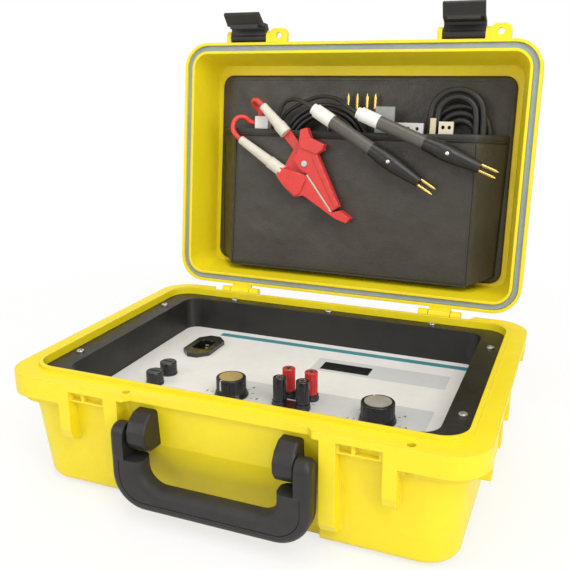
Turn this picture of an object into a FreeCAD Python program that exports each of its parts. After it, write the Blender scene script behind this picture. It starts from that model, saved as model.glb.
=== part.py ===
import FreeCAD, Part
import math
import os

os.makedirs("parts", exist_ok=True)
V = FreeCAD.Vector
X_AXIS = V(1, 0, 0)
Y_AXIS = V(0, 1, 0)
Z_AXIS = V(0, 0, 1)

# Case base
OPENING_X = 346.0        # clear width inside the sealing tongue
OPENING_Y = 235.0        # clear depth inside the sealing tongue
OPENING_R = 19.0
RIM_Z = 101.0            # top of the sealing tongue above the table
TONGUE_T = 3.4
TONGUE_H = 3.0
FLANGE_X = 190.0         # half width over the rim flange
FLANGE_Y = 138.0         # half depth over the rim flange
FLANGE_R = 28.0
FLANGE_T = 6.0
FLANGE_FRONT_MID = 133.5   # set back above the handle
FLANGE_REAR_MID = 127.0    # set back between the hinges
WALL_TOP_X = 180.0
WALL_TOP_Y = 130.0
WALL_LOW_X = 172.0
WALL_LOW_Y = 122.0
WALL_R = 28.0
WALL_T = 3.5
BOTTOM_EDGE_R = 8.0
PAD_H = 2.0
SKIRT_X = 134.0          # corner skirts start here
SKIRT_Y = 84.0
SKIRT_DROP = 11.0
SKIRT_STEP = 5.0
SKIRT_STEP_DROP = 5.5
RIB_IN_X0 = 80.0
RIB_IN_X1 = 92.0
RIB_IN_LOW = 21.0
RIB_OUT_X0 = 124.0
RIB_OUT_X1 = 134.0
RIB_OUT_LOW = 50.0
RECESS_X = 76.0          # half width of the handle recess
RECESS_FOLD_Z = 57.0     # below this the recess wall leans in
RECESS_LOW_Y = 113.0
LEDGE_T = 5.7            # inner ledge that carries the bezel
FIT = 0.5                # clearance of parts dropped into each other
RUN = 0.05               # radial clearance of a running pin

# Lid and hinge
LID_LIP = 3.6            # lid rim outside the tongue, side to side
LID_LIP_Y = 4.1
LID_R = 26.0
LID_OPEN = 97.0
LID_SEAT = 0.5           # rim of the closed lid above the ledge
LID_BAND = 11.5
LID_DEPTH = 48.0
LID_INNER = 45.0
LID_MOUTH = 11.0
LID_FLOOR_X = 161.0
LID_FLOOR_Y = 107.0
LID_BODY_INSET = 4.0
LID_DRAFT = 6.0
GROOVE_IN = 2.8
GROOVE_W = 5.5
GROOVE_D = 6.5
GASKET_T = 3.5
HINGE_Y = 132.4
HINGE_Z = 97.8
KNUCKLE_R = 5.0
HINGE_PIN_R = 2.0
KNUCKLE_X0 = 96.0
KNUCKLE_X1 = 117.0
EAR_GAP = 0.5
EAR_W = 9.5

# Latches
LATCH_X = 108.0
LATCH_W = 38.0
HOOK_W = 30.0
LATCH_OUT = 4.5          # pivot in front of the lid's front edge
LATCH_RISE = 4.0         # pivot behind the rim plane
LATCH_KNUCKLE_R = 4.0
LATCH_PIN_R = 1.75
LATCH_LEFT_REST = 0.0    # swung open from latched, as in the picture
LATCH_RIGHT_REST = 20.0
LATCH_EAR_GAP = 0.6
LATCH_EAR_T = 4.4
TAB_OFFSET = 33.0
TAB_W = 19.0
TAB_T = 4.0
PADLOCK_R = 3.0
PADLOCK_OUT = 6.5        # hole in front of the lid's front edge

# Handle
GRIP_Y = -143.0          # plane of the handle and its pivot
PIVOT_Z = 71.0
HANDLE_X = 79.0
HANDLE_T = 18.0
HANDLE_LOW = 13.0
HANDLE_R = 27.0
BAR_TOP = 32.0
HANDLE_IN_X = 53.0
HANDLE_IN_R = 14.0
HANDLE_RIM = 7.0
RIM_ROUND = 5.0
BRACKET_X0 = 50.0
BRACKET_X1 = 66.5
BRACKET_TOP = 87.0
BRACKET_LOW = 56.0
BRACKET_ROUND = 4.5
BRACKET_EDGE = 2.5
ARM_GAP = 0.7
HANDLE_PIN_R = 3.0
GRIP_ROUND = 7.0
GRIP_GROOVE = 1.2

# Bezel and face panel
BEZEL_DROP = 6.8         # bezel flange below the tongue top
BEZEL_T = 2.5
WELL_X = 152.5
WELL_Y = 104.5
WELL_R = 14.0
WELL_LOW_X = 150.5
WELL_LOW_Y = 100.5
WELL_WALL = 2.5
WELL_DEPTH = 30.2
PANEL_T = 2.0
PANEL_GAP = 0.3
LIP_T = 2.5
LIP_W = 7.0
SCREW_SPOTS = [(sx * 163.5, sy * 69.5) for sx in (-1, 1) for sy in (-1, 1)]
SCREW_SPOTS += [(x, sy * 111.9) for x in (-103.9, 0.0, 103.9) for sy in (-1, 1)]
SCREW_R = 1.5
SCREW_LEN = 7.0
SCREW_HEAD_R = 3.4
SCREW_HEAD_H = 2.0

# Panel controls
INLET = (-106.0, 46.0)
INLET_FLANGE = (28.0, 50.0, 4.0)
INLET_BODY = (21.0, 28.4, 22.0)
INLET_SOCKET = (16.0, 24.0, 17.0)
FUSE_X = -106.0
FUSE_Y = (-21.0, -44.0)
FUSE_R = 6.2
FUSE_FLANGE_R = 7.8
FUSE_CAP_R = 7.5
FUSE_CAP_H = 10.0
FUSE_STEM_R = 5.0
FUSE_LEN = 20.0
FUSE_GLASS_R = 2.6
KNOBS = [(-33.0, -41.0, 14.5, 12.6), (94.5, -42.0, 15.0, 13.4)]   # x, y, skirt radius, body radius
KNOB_H = 16.0
KNOB_SKIRT_H = 4.0
KNOB_LIFT = 0.8
KNOB_FLUTES = 20
SHAFT_R = 3.2
BUSH_R = 4.7
POST_X = (12.5, 32.5)
POST_Y = (-44.0, -24.0)
POST_R = 5.5
POST_H = 25.0
POST_BASE_H = 5.0
STUD_R = 3.2
SOCKET_R = 2.0
SOCKET_DEPTH = 18.0
WINDOW = (39.6, 48.7, 45.3, 16.4)     # centre x, centre y, width, depth
BOARD = (-70.0, 138.0, -4.0, 92.0)    # x0, x1, y0, y1
BOARD_Z = 38.0
BOARD_T = 1.6
STANDOFF_R = 3.0
TRANSFORMER = (50.0, 122.0, 8.0, 74.0)
TRANSFORMER_H = 27.0

# Lid pouch and accessories, in lid measures: x, r along the lid, w behind the rim plane
BACK_SIDE_GAP = 5.0      # board to the edge of the lid floor, at the sides, the foot and the top
BACK_FOOT_GAP = 3.0
BACK_TOP_GAP = 10.0
BACK_T = 2.5
POCKET_W = 16.0
POCKET_T = 1.5
POCKET_TOP = 165.0
POCKET_FRONT = (126.0, 127.0, 20.0)   # half width at the top, at the bottom, lowest r
POCKET_BACK = (153.0, 150.0, 30.0)
PROBE_LEN = 131.0
PROBE_R = 8.6
PROBE_TUBE_R = 6.5
PROBE_BARREL_LEN = 11.0
PROBE_SWELL_LEN = 20.0
PROBE_TAPER_LEN = 30.0
PROBE_TIP_R = 5.2
COLLAR_R = 7.0
COLLAR_LEN = 24.0
COLLAR_STEP = 1.4
COLLAR_STEP_LEN = 4.0
PROBE_PIN_R = 1.4
PROBE_PIN_LEN = 17.0
PROBE_W = 5.2
PROBE_STARTS = [(-36.0, 186.0, 91.0, 110.0), (10.5, 183.0, 149.0, 128.5)]
PROBE_LEAD_R = 2.0
COIL_CENTRE = (-30.0, 143.0)
COIL_R = 50.0
COIL_PITCH = 4.8
COIL_W = (20.5, 25.5)
COIL_END_R = 20.0
PIN_PLUG_R = 2.9
RED_LEAD_R = 2.5
RED_CENTRE = (-72.0, 120.0)
RED_R = 26.0
RED_PITCH = 5.8
RED_W = (30.6, 36.6)
TAG_W = 23.2
CORD_R = 3.15
CORD_W = (35.6, 28.8)
PLUG_X = 118.0
CLIP_W0 = 3.2
CLIP_W1 = 15.7
JAW_W1 = 11.5
LUG_W0 = 12.0
CLIP_PIVOT = (-42.0, 131.0)
CLIP_PIN_R = 2.5
CLIP_HEAD_R = 3.1
CLIP_RIDGE = 2.2
JAW_RIB = 1.2

# Derived levels
LEDGE_Z = RIM_Z - TONGUE_H
FLANGE_Z = LEDGE_Z - FLANGE_T
BEZEL_Z = RIM_Z - BEZEL_DROP
SHELF_Z = BEZEL_Z - BEZEL_T
PANEL_Z = BEZEL_Z - WELL_DEPTH
PANEL_LOW = PANEL_Z - PANEL_T
FLOOR_Z = PAD_H + WALL_T
HX = OPENING_X / 2
HY = OPENING_Y / 2
LID_HX = HX + TONGUE_T + LID_LIP
LID_HY = HY + TONGUE_T + LID_LIP_Y
LID_Z = LEDGE_Z + LID_SEAT


def rounded_rect(hx, hy, r, z, cx=0.0, cy=0.0):
    """Closed wire of a rounded rectangle at height z."""
    s = r * math.sqrt(0.5)
    arcs = []
    for sx, sy in ((1, -1), (1, 1), (-1, 1), (-1, -1)):
        ox = cx + sx * (hx - r)
        oy = cy + sy * (hy - r)
        side = V(ox + sx * r, oy, z)
        end = V(ox, oy + sy * r, z)
        middle = V(ox + sx * s, oy + sy * s, z)
        arcs.append((end, middle, side) if sx * sy < 0 else (side, middle, end))
    edges = []
    for i, (a, m, b) in enumerate(arcs):
        edges.append(Part.Arc(a, m, b).toShape())
        edges.append(Part.makeLine(b, arcs[(i + 1) % 4][0]))
    return Part.Wire(edges)


def plate(hx, hy, r, z0, z1, cx=0.0, cy=0.0):
    return Part.Face(rounded_rect(hx, hy, r, z0, cx, cy)).extrude(V(0, 0, z1 - z0))


def taper(low, high):
    """Solid between two rounded rectangles given as (hx, hy, r, z)."""
    return Part.makeLoft([rounded_rect(*low), rounded_rect(*high)], True, True)


def block(x0, x1, y0, y1, z0, z1):
    return Part.makeBox(x1 - x0, y1 - y0, z1 - z0, V(x0, y0, z0))


def rod(x, y, z0, z1, r):
    return Part.makeCylinder(r, z1 - z0, V(x, y, z0), Z_AXIS)


def rod_x(x0, x1, y, z, r):
    return Part.makeCylinder(r, x1 - x0, V(x0, y, z), X_AXIS)


def prism_yz(points, x0, x1):
    face = Part.Face(Part.makePolygon([V(x0, y, z) for y, z in points + points[:1]]))
    return face.extrude(V(x1 - x0, 0, 0))


def prism_xy(points, z0, z1):
    face = Part.Face(Part.makePolygon([V(x, y, z0) for x, y in points + points[:1]]))
    return face.extrude(V(0, 0, z1 - z0))


def join(shapes):
    return shapes[0].multiFuse(shapes[1:]).removeSplitter()


def less(shape, tools):
    return shape.cut(Part.makeCompound(tools)) if len(tools) > 1 else shape.cut(tools[0])


def solid_of(shape):
    return shape.Solids[0] if len(shape.Solids) == 1 else shape


def edges_at(shape, z):
    return [e for e in shape.Edges if all(abs(p.Point.z - z) < 1e-6 for p in e.Vertexes)]


def mirrored(shape):
    return shape.mirror(V(0, 0, 0), X_AXIS)


def both(shape):
    return [shape, mirrored(shape)]


def lid_point(x, r, w):
    return V(x, LID_HY - r, LID_Z + w)


def lid_way(dx, dr, dw):
    return V(dx, -dr, dw).normalize()


def lid_prism(points, w0, w1):
    return prism_xy([(x, LID_HY - r) for x, r in points], LID_Z + w0, LID_Z + w1)


def opened(shape):
    turned = shape.copy()
    turned.rotate(V(0, HINGE_Y, HINGE_Z), X_AXIS, -LID_OPEN)
    return turned


def save(name, shape):
    for s in shape.Solids:
        if not s.isValid() or not s.isClosed():
            print("BAD SOLID", name)
    print("%-18s solids %d volume %.0f" % (name, len(shape.Solids), shape.Volume))
    shape.exportStep("parts/%s.step" % name)


def save_all(name, solids):
    save(name, solids[0] if len(solids) == 1 else Part.makeCompound(solids))


# Curved tubes are chains of biarcs through points with set directions

def arc_edge(p, t, q):
    """Arc or line from p to q that leaves p along t, with its radius."""
    chord = q.sub(p)
    span = chord.Length
    u = V(chord).normalize()
    side = t.sub(V(u).multiply(t.dot(u)))
    if side.Length < 1e-4:
        return Part.makeLine(p, q), None
    half = math.acos(max(-1.0, min(1.0, t.dot(u))))
    bulge = V(side).normalize().multiply(span / 2 * math.tan(half / 2))
    middle = p.add(q).multiply(0.5).add(bulge)
    return Part.Arc(p, middle, q).toShape(), span / (2 * math.sin(half))


def biarcs(nodes):
    edges = []
    tightest = None
    for (p, t), (q, s) in zip(nodes[:-1], nodes[1:]):
        v = q.sub(p)
        total = t.add(s)
        gap = 2 * (1 - t.dot(s))
        if gap < 1e-9:
            d = v.dot(v) / (4 * v.dot(t))
        else:
            d = (math.sqrt(v.dot(total) ** 2 + gap * v.dot(v)) - v.dot(total)) / gap
        m = p.add(q).add(t.sub(s).multiply(d)).multiply(0.5)
        first = V(p.add(V(t).multiply(d)))
        second = V(q.sub(V(s).multiply(d)))
        way = second.sub(first).normalize()
        for a, at, b in ((p, t, m), (m, way, q)):
            edge, radius = arc_edge(a, at, b)
            edges.append(edge)
            if radius and (tightest is None or radius < tightest):
                tightest = radius
    return edges, tightest


def least_gap(edges, r):
    """Least clear distance between stretches of the tube that are not neighbours."""
    points = []
    run = 0.0
    for e in edges:
        n = max(2, int(e.Length / 3.0))
        for i in range(n):
            u = e.FirstParameter + (e.LastParameter - e.FirstParameter) * i / n
            points.append((e.valueAt(u), run + e.Length * i / n))
        run += e.Length
    least = 1e9
    for i, (p, a) in enumerate(points):
        for q, b in points[i + 1:]:
            if b - a > 8 * r:
                least = min(least, p.sub(q).Length)
    return least - 2 * r


def hose(name, nodes, r):
    edges, tightest = biarcs(nodes)
    wire = Part.Wire(edges)
    start = Part.Wire([Part.makeCircle(r, nodes[0][0], nodes[0][1])])
    tube = wire.makePipeShell([start], True, False)
    ratio = tube.Volume / (math.pi * r * r * wire.Length)
    print("%s length %.0f mm, tightest radius %.1f mm, volume ratio %.4f, own gap %.2f mm"
          % (name, wire.Length, tightest, ratio, least_gap(edges, r)))
    return solid_of(tube)


def lid_nodes(rows):
    return [(lid_point(x, r, w), lid_way(dx, dr, dw)) for x, r, w, dx, dr, dw in rows]


def half_turns(cx, cr, w, radii, first_side):
    """Rows of a flat spiral of half turns, each with its own radius, run anticlockwise."""
    rows = []
    side = first_side
    x = cx + side * radii[0]
    for k, radius in enumerate(radii):
        rows.append((x, cr, w, 0, side, 0))
        rows.append((x - side * radius, cr + side * radius, w, -side, 0, 0))
        x -= side * 2 * radius
        side = -side
    rows.append((x, cr, w, 0, side, 0))
    return rows


# Case base: drafted tub with a rim flange, ribs, latch catches and hinge ears

wall = taper((WALL_LOW_X, WALL_LOW_Y, WALL_R - 2, PAD_H), (WALL_TOP_X, WALL_TOP_Y, WALL_R, FLANGE_Z + 2))
wall = wall.makeFillet(BOTTOM_EDGE_R, edges_at(wall, PAD_H))
flange = plate(FLANGE_X, FLANGE_Y, FLANGE_R, FLANGE_Z, LEDGE_Z)
front_gap = [(-RECESS_X, -FLANGE_Y - 1), (-RECESS_X + 5, -FLANGE_FRONT_MID),
             (RECESS_X - 5, -FLANGE_FRONT_MID),
             (RECESS_X, -FLANGE_Y - 1)]
rear_gap = [(-SKIRT_X - 6, FLANGE_Y + 1), (-SKIRT_X, FLANGE_REAR_MID), (SKIRT_X, FLANGE_REAR_MID),
            (SKIRT_X + 6, FLANGE_Y + 1)]
flange = less(flange, [prism_xy(p, FLANGE_Z - 1, LEDGE_Z + 1) for p in (front_gap, rear_gap)])
tongue = plate(HX + TONGUE_T, HY + TONGUE_T, OPENING_R + TONGUE_T, LEDGE_Z - 1, RIM_Z)
skirt = plate(FLANGE_X, FLANGE_Y, FLANGE_R, FLANGE_Z - SKIRT_DROP, FLANGE_Z + 1)
step = plate(FLANGE_X - SKIRT_STEP, FLANGE_Y - SKIRT_STEP, FLANGE_R - 2,
             FLANGE_Z - SKIRT_DROP - SKIRT_STEP_DROP, FLANGE_Z)
corner_boxes = []
for sx in (-1, 1):
    for sy in (-1, 1):
        xs = sorted((sx * SKIRT_X, sx * 220))
        ys = sorted((sy * SKIRT_Y, sy * 170))
        corner_boxes.append(block(xs[0], xs[1], ys[0], ys[1], 0, RIM_Z))
corners = Part.makeCompound(corner_boxes)
pads = [plate(24, 16, 6, 0, PAD_H + 1, sx * 128, sy * 84) for sx in (-1, 1) for sy in (-1, 1)]
pads.append(plate(60, 40, 10, 0, PAD_H + 1))
rib_in = prism_yz([(-118, FLANGE_Z), (-FLANGE_Y, FLANGE_Z), (-FLANGE_Y, RIB_IN_LOW + 7),
                   (-FLANGE_Y + 5, RIB_IN_LOW), (-118, RIB_IN_LOW - 6)], RIB_IN_X0, RIB_IN_X1)
rib_out = prism_yz([(-122, FLANGE_Z), (-FLANGE_Y, FLANGE_Z), (-FLANGE_Y, RIB_OUT_LOW + 9),
                    (-FLANGE_Y + 2.5, RIB_OUT_LOW + 2), (-122, RIB_OUT_LOW - 4)], RIB_OUT_X0, RIB_OUT_X1)
rib_side = [block(sx * 176 - 9, sx * 176 + 9, y - 6, y + 6, 40, FLANGE_Z + 1) for sx in (-1, 1)
            for y in (-52, 0, 52)]
catch = prism_yz([(-122, FLANGE_Z), (-FLANGE_Y + 2.5, FLANGE_Z), (-FLANGE_Y + 2.5, FLANGE_Z - 8.5),
                  (-FLANGE_Y + 6, FLANGE_Z - 11), (-122, FLANGE_Z - 14)], RIB_IN_X1 - 1, RIB_OUT_X0 + 1)
ears = []
for x0 in (KNUCKLE_X0 - EAR_GAP - EAR_W, KNUCKLE_X1 + EAR_GAP):
    ears.append(rod_x(x0, x0 + EAR_W, HINGE_Y, HINGE_Z, KNUCKLE_R))
    ears.append(block(x0, x0 + EAR_W, FLANGE_REAR_MID - 4, HINGE_Y, FLANGE_Z + 0.5, HINGE_Z))
outer = [wall, flange, tongue, skirt.common(corners), step.common(corners)] + pads + rib_side
for piece in [rib_in, rib_out, catch] + ears:
    outer += both(piece)
case_base = join(outer)
recess = prism_yz([(-160, RECESS_FOLD_Z), (-126.9, RECESS_FOLD_Z), (-RECESS_LOW_Y, 8), (-RECESS_LOW_Y, -1),
                   (-160, -1)], -RECESS_X, RECESS_X)
backing = prism_yz([(-160, RECESS_FOLD_Z + 6), (-126.9 + WALL_T + 0.5, RECESS_FOLD_Z + 6),
                    (-126.9 + WALL_T + 0.5, RECESS_FOLD_Z), (-RECESS_LOW_Y + WALL_T + 0.5, 8),
                    (-RECESS_LOW_Y + WALL_T + 0.5, -1), (-160, -1)], -RECESS_X - WALL_T, RECESS_X + WALL_T)
cavity = taper((WALL_LOW_X - WALL_T - 2, WALL_LOW_Y - WALL_T - 2, WALL_R - 5, FLOOR_Z),
               (WALL_TOP_X - WALL_T - 0.5, WALL_TOP_Y - WALL_T - 0.5, WALL_R - 3, SHELF_Z - LEDGE_T))
cuts = [recess, cavity.cut(backing)]
cuts.append(plate(HX, HY, OPENING_R, SHELF_Z, RIM_Z + 1))
cuts.append(plate(WELL_X + WELL_WALL + 1, WELL_Y + WELL_WALL + FIT, WELL_R + 2,
                  SHELF_Z - LEDGE_T - 1, SHELF_Z + 1))
for centre in (-LATCH_X, LATCH_X):
    for x0, x1 in ((-14.5, -6.0), (-3.0, 13.0)):
        cuts.append(block(centre + x0, centre + x1, -FLANGE_Y - 1, -FLANGE_Y + 6, FLANGE_Z - 7, FLANGE_Z))
    hole_y = -LID_HY - PADLOCK_OUT
    cuts.append(rod(centre + TAB_OFFSET, hole_y, FLANGE_Z - 18, RIM_Z, PADLOCK_R))
for sx in (-1, 1):
    cuts.append(rod_x(sx * 106.5 - 30, sx * 106.5 + 30, HINGE_Y, HINGE_Z, HINGE_PIN_R))
    gap_xs = sorted((sx * (KNUCKLE_X0 - EAR_GAP), sx * (KNUCKLE_X1 + EAR_GAP)))
    cuts.append(rod_x(gap_xs[0], gap_xs[1], HINGE_Y, HINGE_Z, KNUCKLE_R + FIT))
for x, y in SCREW_SPOTS:
    cuts.append(rod(x, y, SHELF_Z - LEDGE_T - 1, SHELF_Z + 1, SCREW_R + 0.1))
case_base = solid_of(less(case_base, cuts))
save("case_base", case_base)

pin_x0 = KNUCKLE_X0 - EAR_GAP - EAR_W
hinge_pin = rod_x(pin_x0, KNUCKLE_X1 + EAR_GAP + EAR_W, HINGE_Y, HINGE_Z, HINGE_PIN_R - RUN)
save_all("hinge_pins", both(hinge_pin))

# Handle, its brackets and pivot pins

bracket = prism_yz([(-120, BRACKET_TOP), (-137, BRACKET_TOP), (-145, BRACKET_TOP - 5), (-149.5, PIVOT_Z + 4),
                    (-149.5, PIVOT_Z - 4), (-146, BRACKET_LOW + 5), (-139, BRACKET_LOW + 1),
                     (-120, BRACKET_LOW)],
                   BRACKET_X0, BRACKET_X1)
lengthwise = [e for e in bracket.Edges
              if len({round(p.Point.x, 3) for p in e.Vertexes}) == 2 and e.BoundBox.YMax < -130]
bracket = bracket.makeFillet(BRACKET_ROUND, lengthwise)
rims = [e for e in bracket.Edges if e.BoundBox.XLength < 1e-6 and e.BoundBox.YMin < -130]
bracket = bracket.makeFillet(BRACKET_EDGE, rims)
bracket = less(bracket, [case_base,
                         rod_x(BRACKET_X0 + 3, BRACKET_X1 + 1, GRIP_Y, PIVOT_Z, HANDLE_PIN_R)])
bracket = max(bracket.Solids, key=lambda s: s.Volume)
save_all("handle_brackets", both(bracket))
handle_pin = rod_x(BRACKET_X0 + 3.3, HANDLE_X - 1, GRIP_Y, PIVOT_Z, HANDLE_PIN_R - RUN)
save_all("handle_pins", both(handle_pin))


def handle_plate(hx, z0, z1, r):
    """Rounded plate in the plane of the handle, as thick as the handle."""
    flat = plate(hx, (z1 - z0) / 2, r, -HANDLE_T / 2, HANDLE_T / 2)
    flat.rotate(V(0, 0, 0), X_AXIS, 90)
    flat.translate(V(0, GRIP_Y, (z0 + z1) / 2))
    return flat


def face_edges(shape, wanted):
    """Edges on the front or back face of the handle, below its top, whose ends all pass the test."""
    top = shape.BoundBox.ZMax - 0.01
    picked = []
    for e in shape.Edges:
        ends = [p.Point for p in e.Vertexes]
        on_face = all(abs(abs(p.y - GRIP_Y) - HANDLE_T / 2) < 1e-6 for p in ends)
        if on_face and min(p.z for p in ends) < top and all(wanted(p) for p in ends):
            picked.append(e)
    return picked


def on_rim(point, half, low):
    return abs(point.x) > half - HANDLE_R and (abs(abs(point.x) - half) < 1e-6 or abs(point.z - low) < 1e-6)


arm_in = BRACKET_X1 + ARM_GAP
grip_top = BRACKET_LOW - 3
core_half = HANDLE_X - HANDLE_RIM
core_low = HANDLE_LOW + HANDLE_RIM
frame = handle_plate(HANDLE_X, HANDLE_LOW, PIVOT_Z + 60, HANDLE_R)
frame = less(frame, [block(-100, 100, -200, -100, PIVOT_Z, 200)])
frame = frame.makeFillet(RIM_ROUND, face_edges(frame, lambda p: on_rim(p, HANDLE_X, HANDLE_LOW)))
core = handle_plate(core_half, core_low, PIVOT_Z + 60, HANDLE_R - HANDLE_RIM)
core = less(core, [block(-100, 100, -200, -100, grip_top, 200)])
frame = less(frame, [block(-arm_in, arm_in, -200, -100, grip_top, 200), core])
arm_top = rod_x(arm_in, HANDLE_X, GRIP_Y, PIVOT_Z, HANDLE_T / 2)
outer_ring = [e for e in arm_top.Edges if e.BoundBox.XMin > HANDLE_X - 1e-6]
frame = join([frame] + both(arm_top.makeFillet(RIM_ROUND, outer_ring)))
frame = less(frame, both(rod_x(arm_in - 1, HANDLE_X - 0.8, GRIP_Y, PIVOT_Z, HANDLE_PIN_R)))
grip = less(core, [handle_plate(HANDLE_IN_X, BAR_TOP, PIVOT_Z + 60, HANDLE_IN_R)])
hand_side = face_edges(grip, lambda p: abs(p.x) < HANDLE_IN_X + 1e-6 and p.z > BAR_TOP - 1e-6)
grip = grip.makeFillet(GRIP_ROUND, hand_side)
grip = grip.makeFillet(GRIP_GROOVE, face_edges(grip, lambda p: on_rim(p, core_half, core_low)))
save("handle_frame", solid_of(frame))
save("handle_grip", solid_of(grip))

# Bezel, face panel and screws

well_out = taper((WELL_LOW_X + WELL_WALL, WELL_LOW_Y + WELL_WALL, WELL_R, PANEL_LOW - LIP_T),
                 (WELL_X + WELL_WALL, WELL_Y + WELL_WALL, WELL_R + 2, BEZEL_Z - 0.5))
well_in = taper((WELL_LOW_X, WELL_LOW_Y, WELL_R - 2, PANEL_LOW), (WELL_X, WELL_Y, WELL_R, BEZEL_Z + 0.1))
bezel = join([plate(HX - FIT, HY - FIT, OPENING_R - FIT, SHELF_Z, BEZEL_Z), well_out])
bezel_cuts = [well_in,
              plate(WELL_LOW_X - LIP_W, WELL_LOW_Y - LIP_W, 10, PANEL_LOW - LIP_T - 1, PANEL_LOW + 1)]
bezel_cuts += [rod(x, y, SHELF_Z - 1, BEZEL_Z + 1, SCREW_R + 0.2) for x, y in SCREW_SPOTS]
save("panel_bezel", solid_of(less(bezel, bezel_cuts)))
screws = []
for x, y in SCREW_SPOTS:
    head = rod(x, y, BEZEL_Z, BEZEL_Z + SCREW_HEAD_H, SCREW_HEAD_R)
    head = head.makeFillet(0.9, edges_at(head, BEZEL_Z + SCREW_HEAD_H))
    screw = join([head, rod(x, y, BEZEL_Z - SCREW_LEN, BEZEL_Z + 0.5, SCREW_R)])
    cross = [block(x - 1.9, x + 1.9, y - 0.4, y + 0.4, BEZEL_Z + 0.8, BEZEL_Z + 3),
             block(x - 0.4, x + 0.4, y - 1.9, y + 1.9, BEZEL_Z + 0.8, BEZEL_Z + 3)]
    screws.append(solid_of(less(screw, cross)))
save_all("bezel_screws", screws)

win_x, win_y, win_w, win_d = WINDOW
holes = [block(win_x - win_w / 2 - 0.2, win_x + win_w / 2 + 0.2,
               win_y - win_d / 2 - 0.2, win_y + win_d / 2 + 0.2,
               PANEL_LOW - 1, PANEL_Z + 1)]
inlet_x, inlet_y = INLET
holes.append(block(inlet_x - INLET_BODY[0] / 2 - 0.2, inlet_x + INLET_BODY[0] / 2 + 0.2,
                   inlet_y - INLET_BODY[1] / 2 - 0.2, inlet_y + INLET_BODY[1] / 2 + 0.2,
                   PANEL_LOW - 1, PANEL_Z + 1))
holes += [rod(FUSE_X, y, PANEL_LOW - 1, PANEL_Z + 1, FUSE_R + 0.2) for y in FUSE_Y]
holes += [rod(x, y, PANEL_LOW - 1, PANEL_Z + 1, BUSH_R + 0.2) for x, y, skirt_r, body_r in KNOBS]
holes += [rod(x, y, PANEL_LOW - 1, PANEL_Z + 1, STUD_R + 0.8) for x in POST_X for y in POST_Y]
panel = plate(WELL_LOW_X - PANEL_GAP, WELL_LOW_Y - PANEL_GAP, WELL_R - 2 - PANEL_GAP, PANEL_LOW, PANEL_Z)
save("face_panel", solid_of(less(panel, holes)))

module = join([block(win_x - 36, win_x + 36, win_y - 16, win_y + 16, PANEL_LOW - 9, PANEL_LOW),
               block(win_x - win_w / 2, win_x + win_w / 2, win_y - win_d / 2, win_y + win_d / 2,
                     PANEL_LOW - 1, PANEL_Z - 1.3)])
save("display_module", module)
save("display_window", block(win_x - win_w / 2, win_x + win_w / 2, win_y - win_d / 2, win_y + win_d / 2,
                             PANEL_Z - 1.3, PANEL_Z + 0.2))

# Mains inlet with three blades


def cut_corner_plate(width, depth, chamfer, z0, z1):
    a = width / 2
    b = depth / 2
    points = [(-a, -b + chamfer), (-a + chamfer, -b), (a - chamfer, -b), (a, -b + chamfer),
              (a, b - chamfer), (a - chamfer, b), (-a + chamfer, b), (-a, b - chamfer)]
    return prism_xy([(inlet_x + x, inlet_y + y) for x, y in points], z0, z1)


inlet_top = PANEL_Z + INLET_FLANGE[2]
inlet_floor = inlet_top - INLET_SOCKET[2]
inlet = join([cut_corner_plate(INLET_FLANGE[0], INLET_FLANGE[1], 9.0, PANEL_Z, inlet_top),
              block(inlet_x - INLET_BODY[0] / 2, inlet_x + INLET_BODY[0] / 2, inlet_y - INLET_BODY[1] / 2,
                    inlet_y + INLET_BODY[1] / 2, inlet_top - INLET_BODY[2], PANEL_Z + 1)])
blade_spots = [(0.0, -7.0), (0.0, 7.0), (3.2, 0.0)]
inlet_cuts = [cut_corner_plate(INLET_SOCKET[0], INLET_SOCKET[1], 3.0, inlet_floor, inlet_top + 1)]
blades = []
for dx, dy in blade_spots:
    bx = inlet_x + dx
    by = inlet_y + dy
    blades.append(block(bx - 2, bx + 2, by - 1, by + 1, inlet_floor - 9, inlet_top - 3))
    inlet_cuts.append(block(bx - 2, bx + 2, by - 1, by + 1, inlet_floor - 10, inlet_floor + 1))
save("ac_inlet", solid_of(less(inlet, inlet_cuts)))
save_all("inlet_blades", blades)

# Fuse holders with turning caps

fuse_floor = PANEL_Z - 7.0 - FUSE_LEN - 1.0
holders = []
links = []
for i, y in enumerate(FUSE_Y):
    holder = join([rod(FUSE_X, y, fuse_floor - 3, PANEL_Z + 1, FUSE_R),
                   rod(FUSE_X, y, PANEL_Z, PANEL_Z + 1.6, FUSE_FLANGE_R)])
    holders.append(solid_of(less(holder, [rod(FUSE_X, y, fuse_floor, PANEL_Z + 3, FUSE_GLASS_R + 0.2),
                                          rod(FUSE_X, y, PANEL_Z - 6, PANEL_Z + 3, FUSE_STEM_R)])))
    links.append(rod(FUSE_X, y, fuse_floor, fuse_floor + FUSE_LEN, FUSE_GLASS_R))
    cap_low = PANEL_Z + 1.9
    cap = rod(FUSE_X, y, cap_low, cap_low + FUSE_CAP_H, FUSE_CAP_R)
    cap = cap.makeFillet(1.2, edges_at(cap, cap_low + FUSE_CAP_H))
    grooves = []
    for k in range(24):
        turn = math.radians(15 * k)
        grooves.append(rod(FUSE_X + FUSE_CAP_R * math.cos(turn), y + FUSE_CAP_R * math.sin(turn),
                           cap_low + 1.5,
                           cap_low + FUSE_CAP_H - 2, 0.45))
    grooves.append(block(FUSE_X - 5, FUSE_X + 5, y - 0.8, y + 0.8, cap_low + FUSE_CAP_H - 1.6, PANEL_Z + 20))
    cap = less(cap, grooves)
    stem = rod(FUSE_X, y, PANEL_Z - 5.4, cap_low + 1, FUSE_STEM_R - RUN)
    save("fuse_cap_rear" if i == 0 else "fuse_cap_front", solid_of(join([cap, stem])))
save_all("fuse_holders", holders)
save_all("fuse_links", links)

# Rotary switches, shafts and knobs

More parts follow.
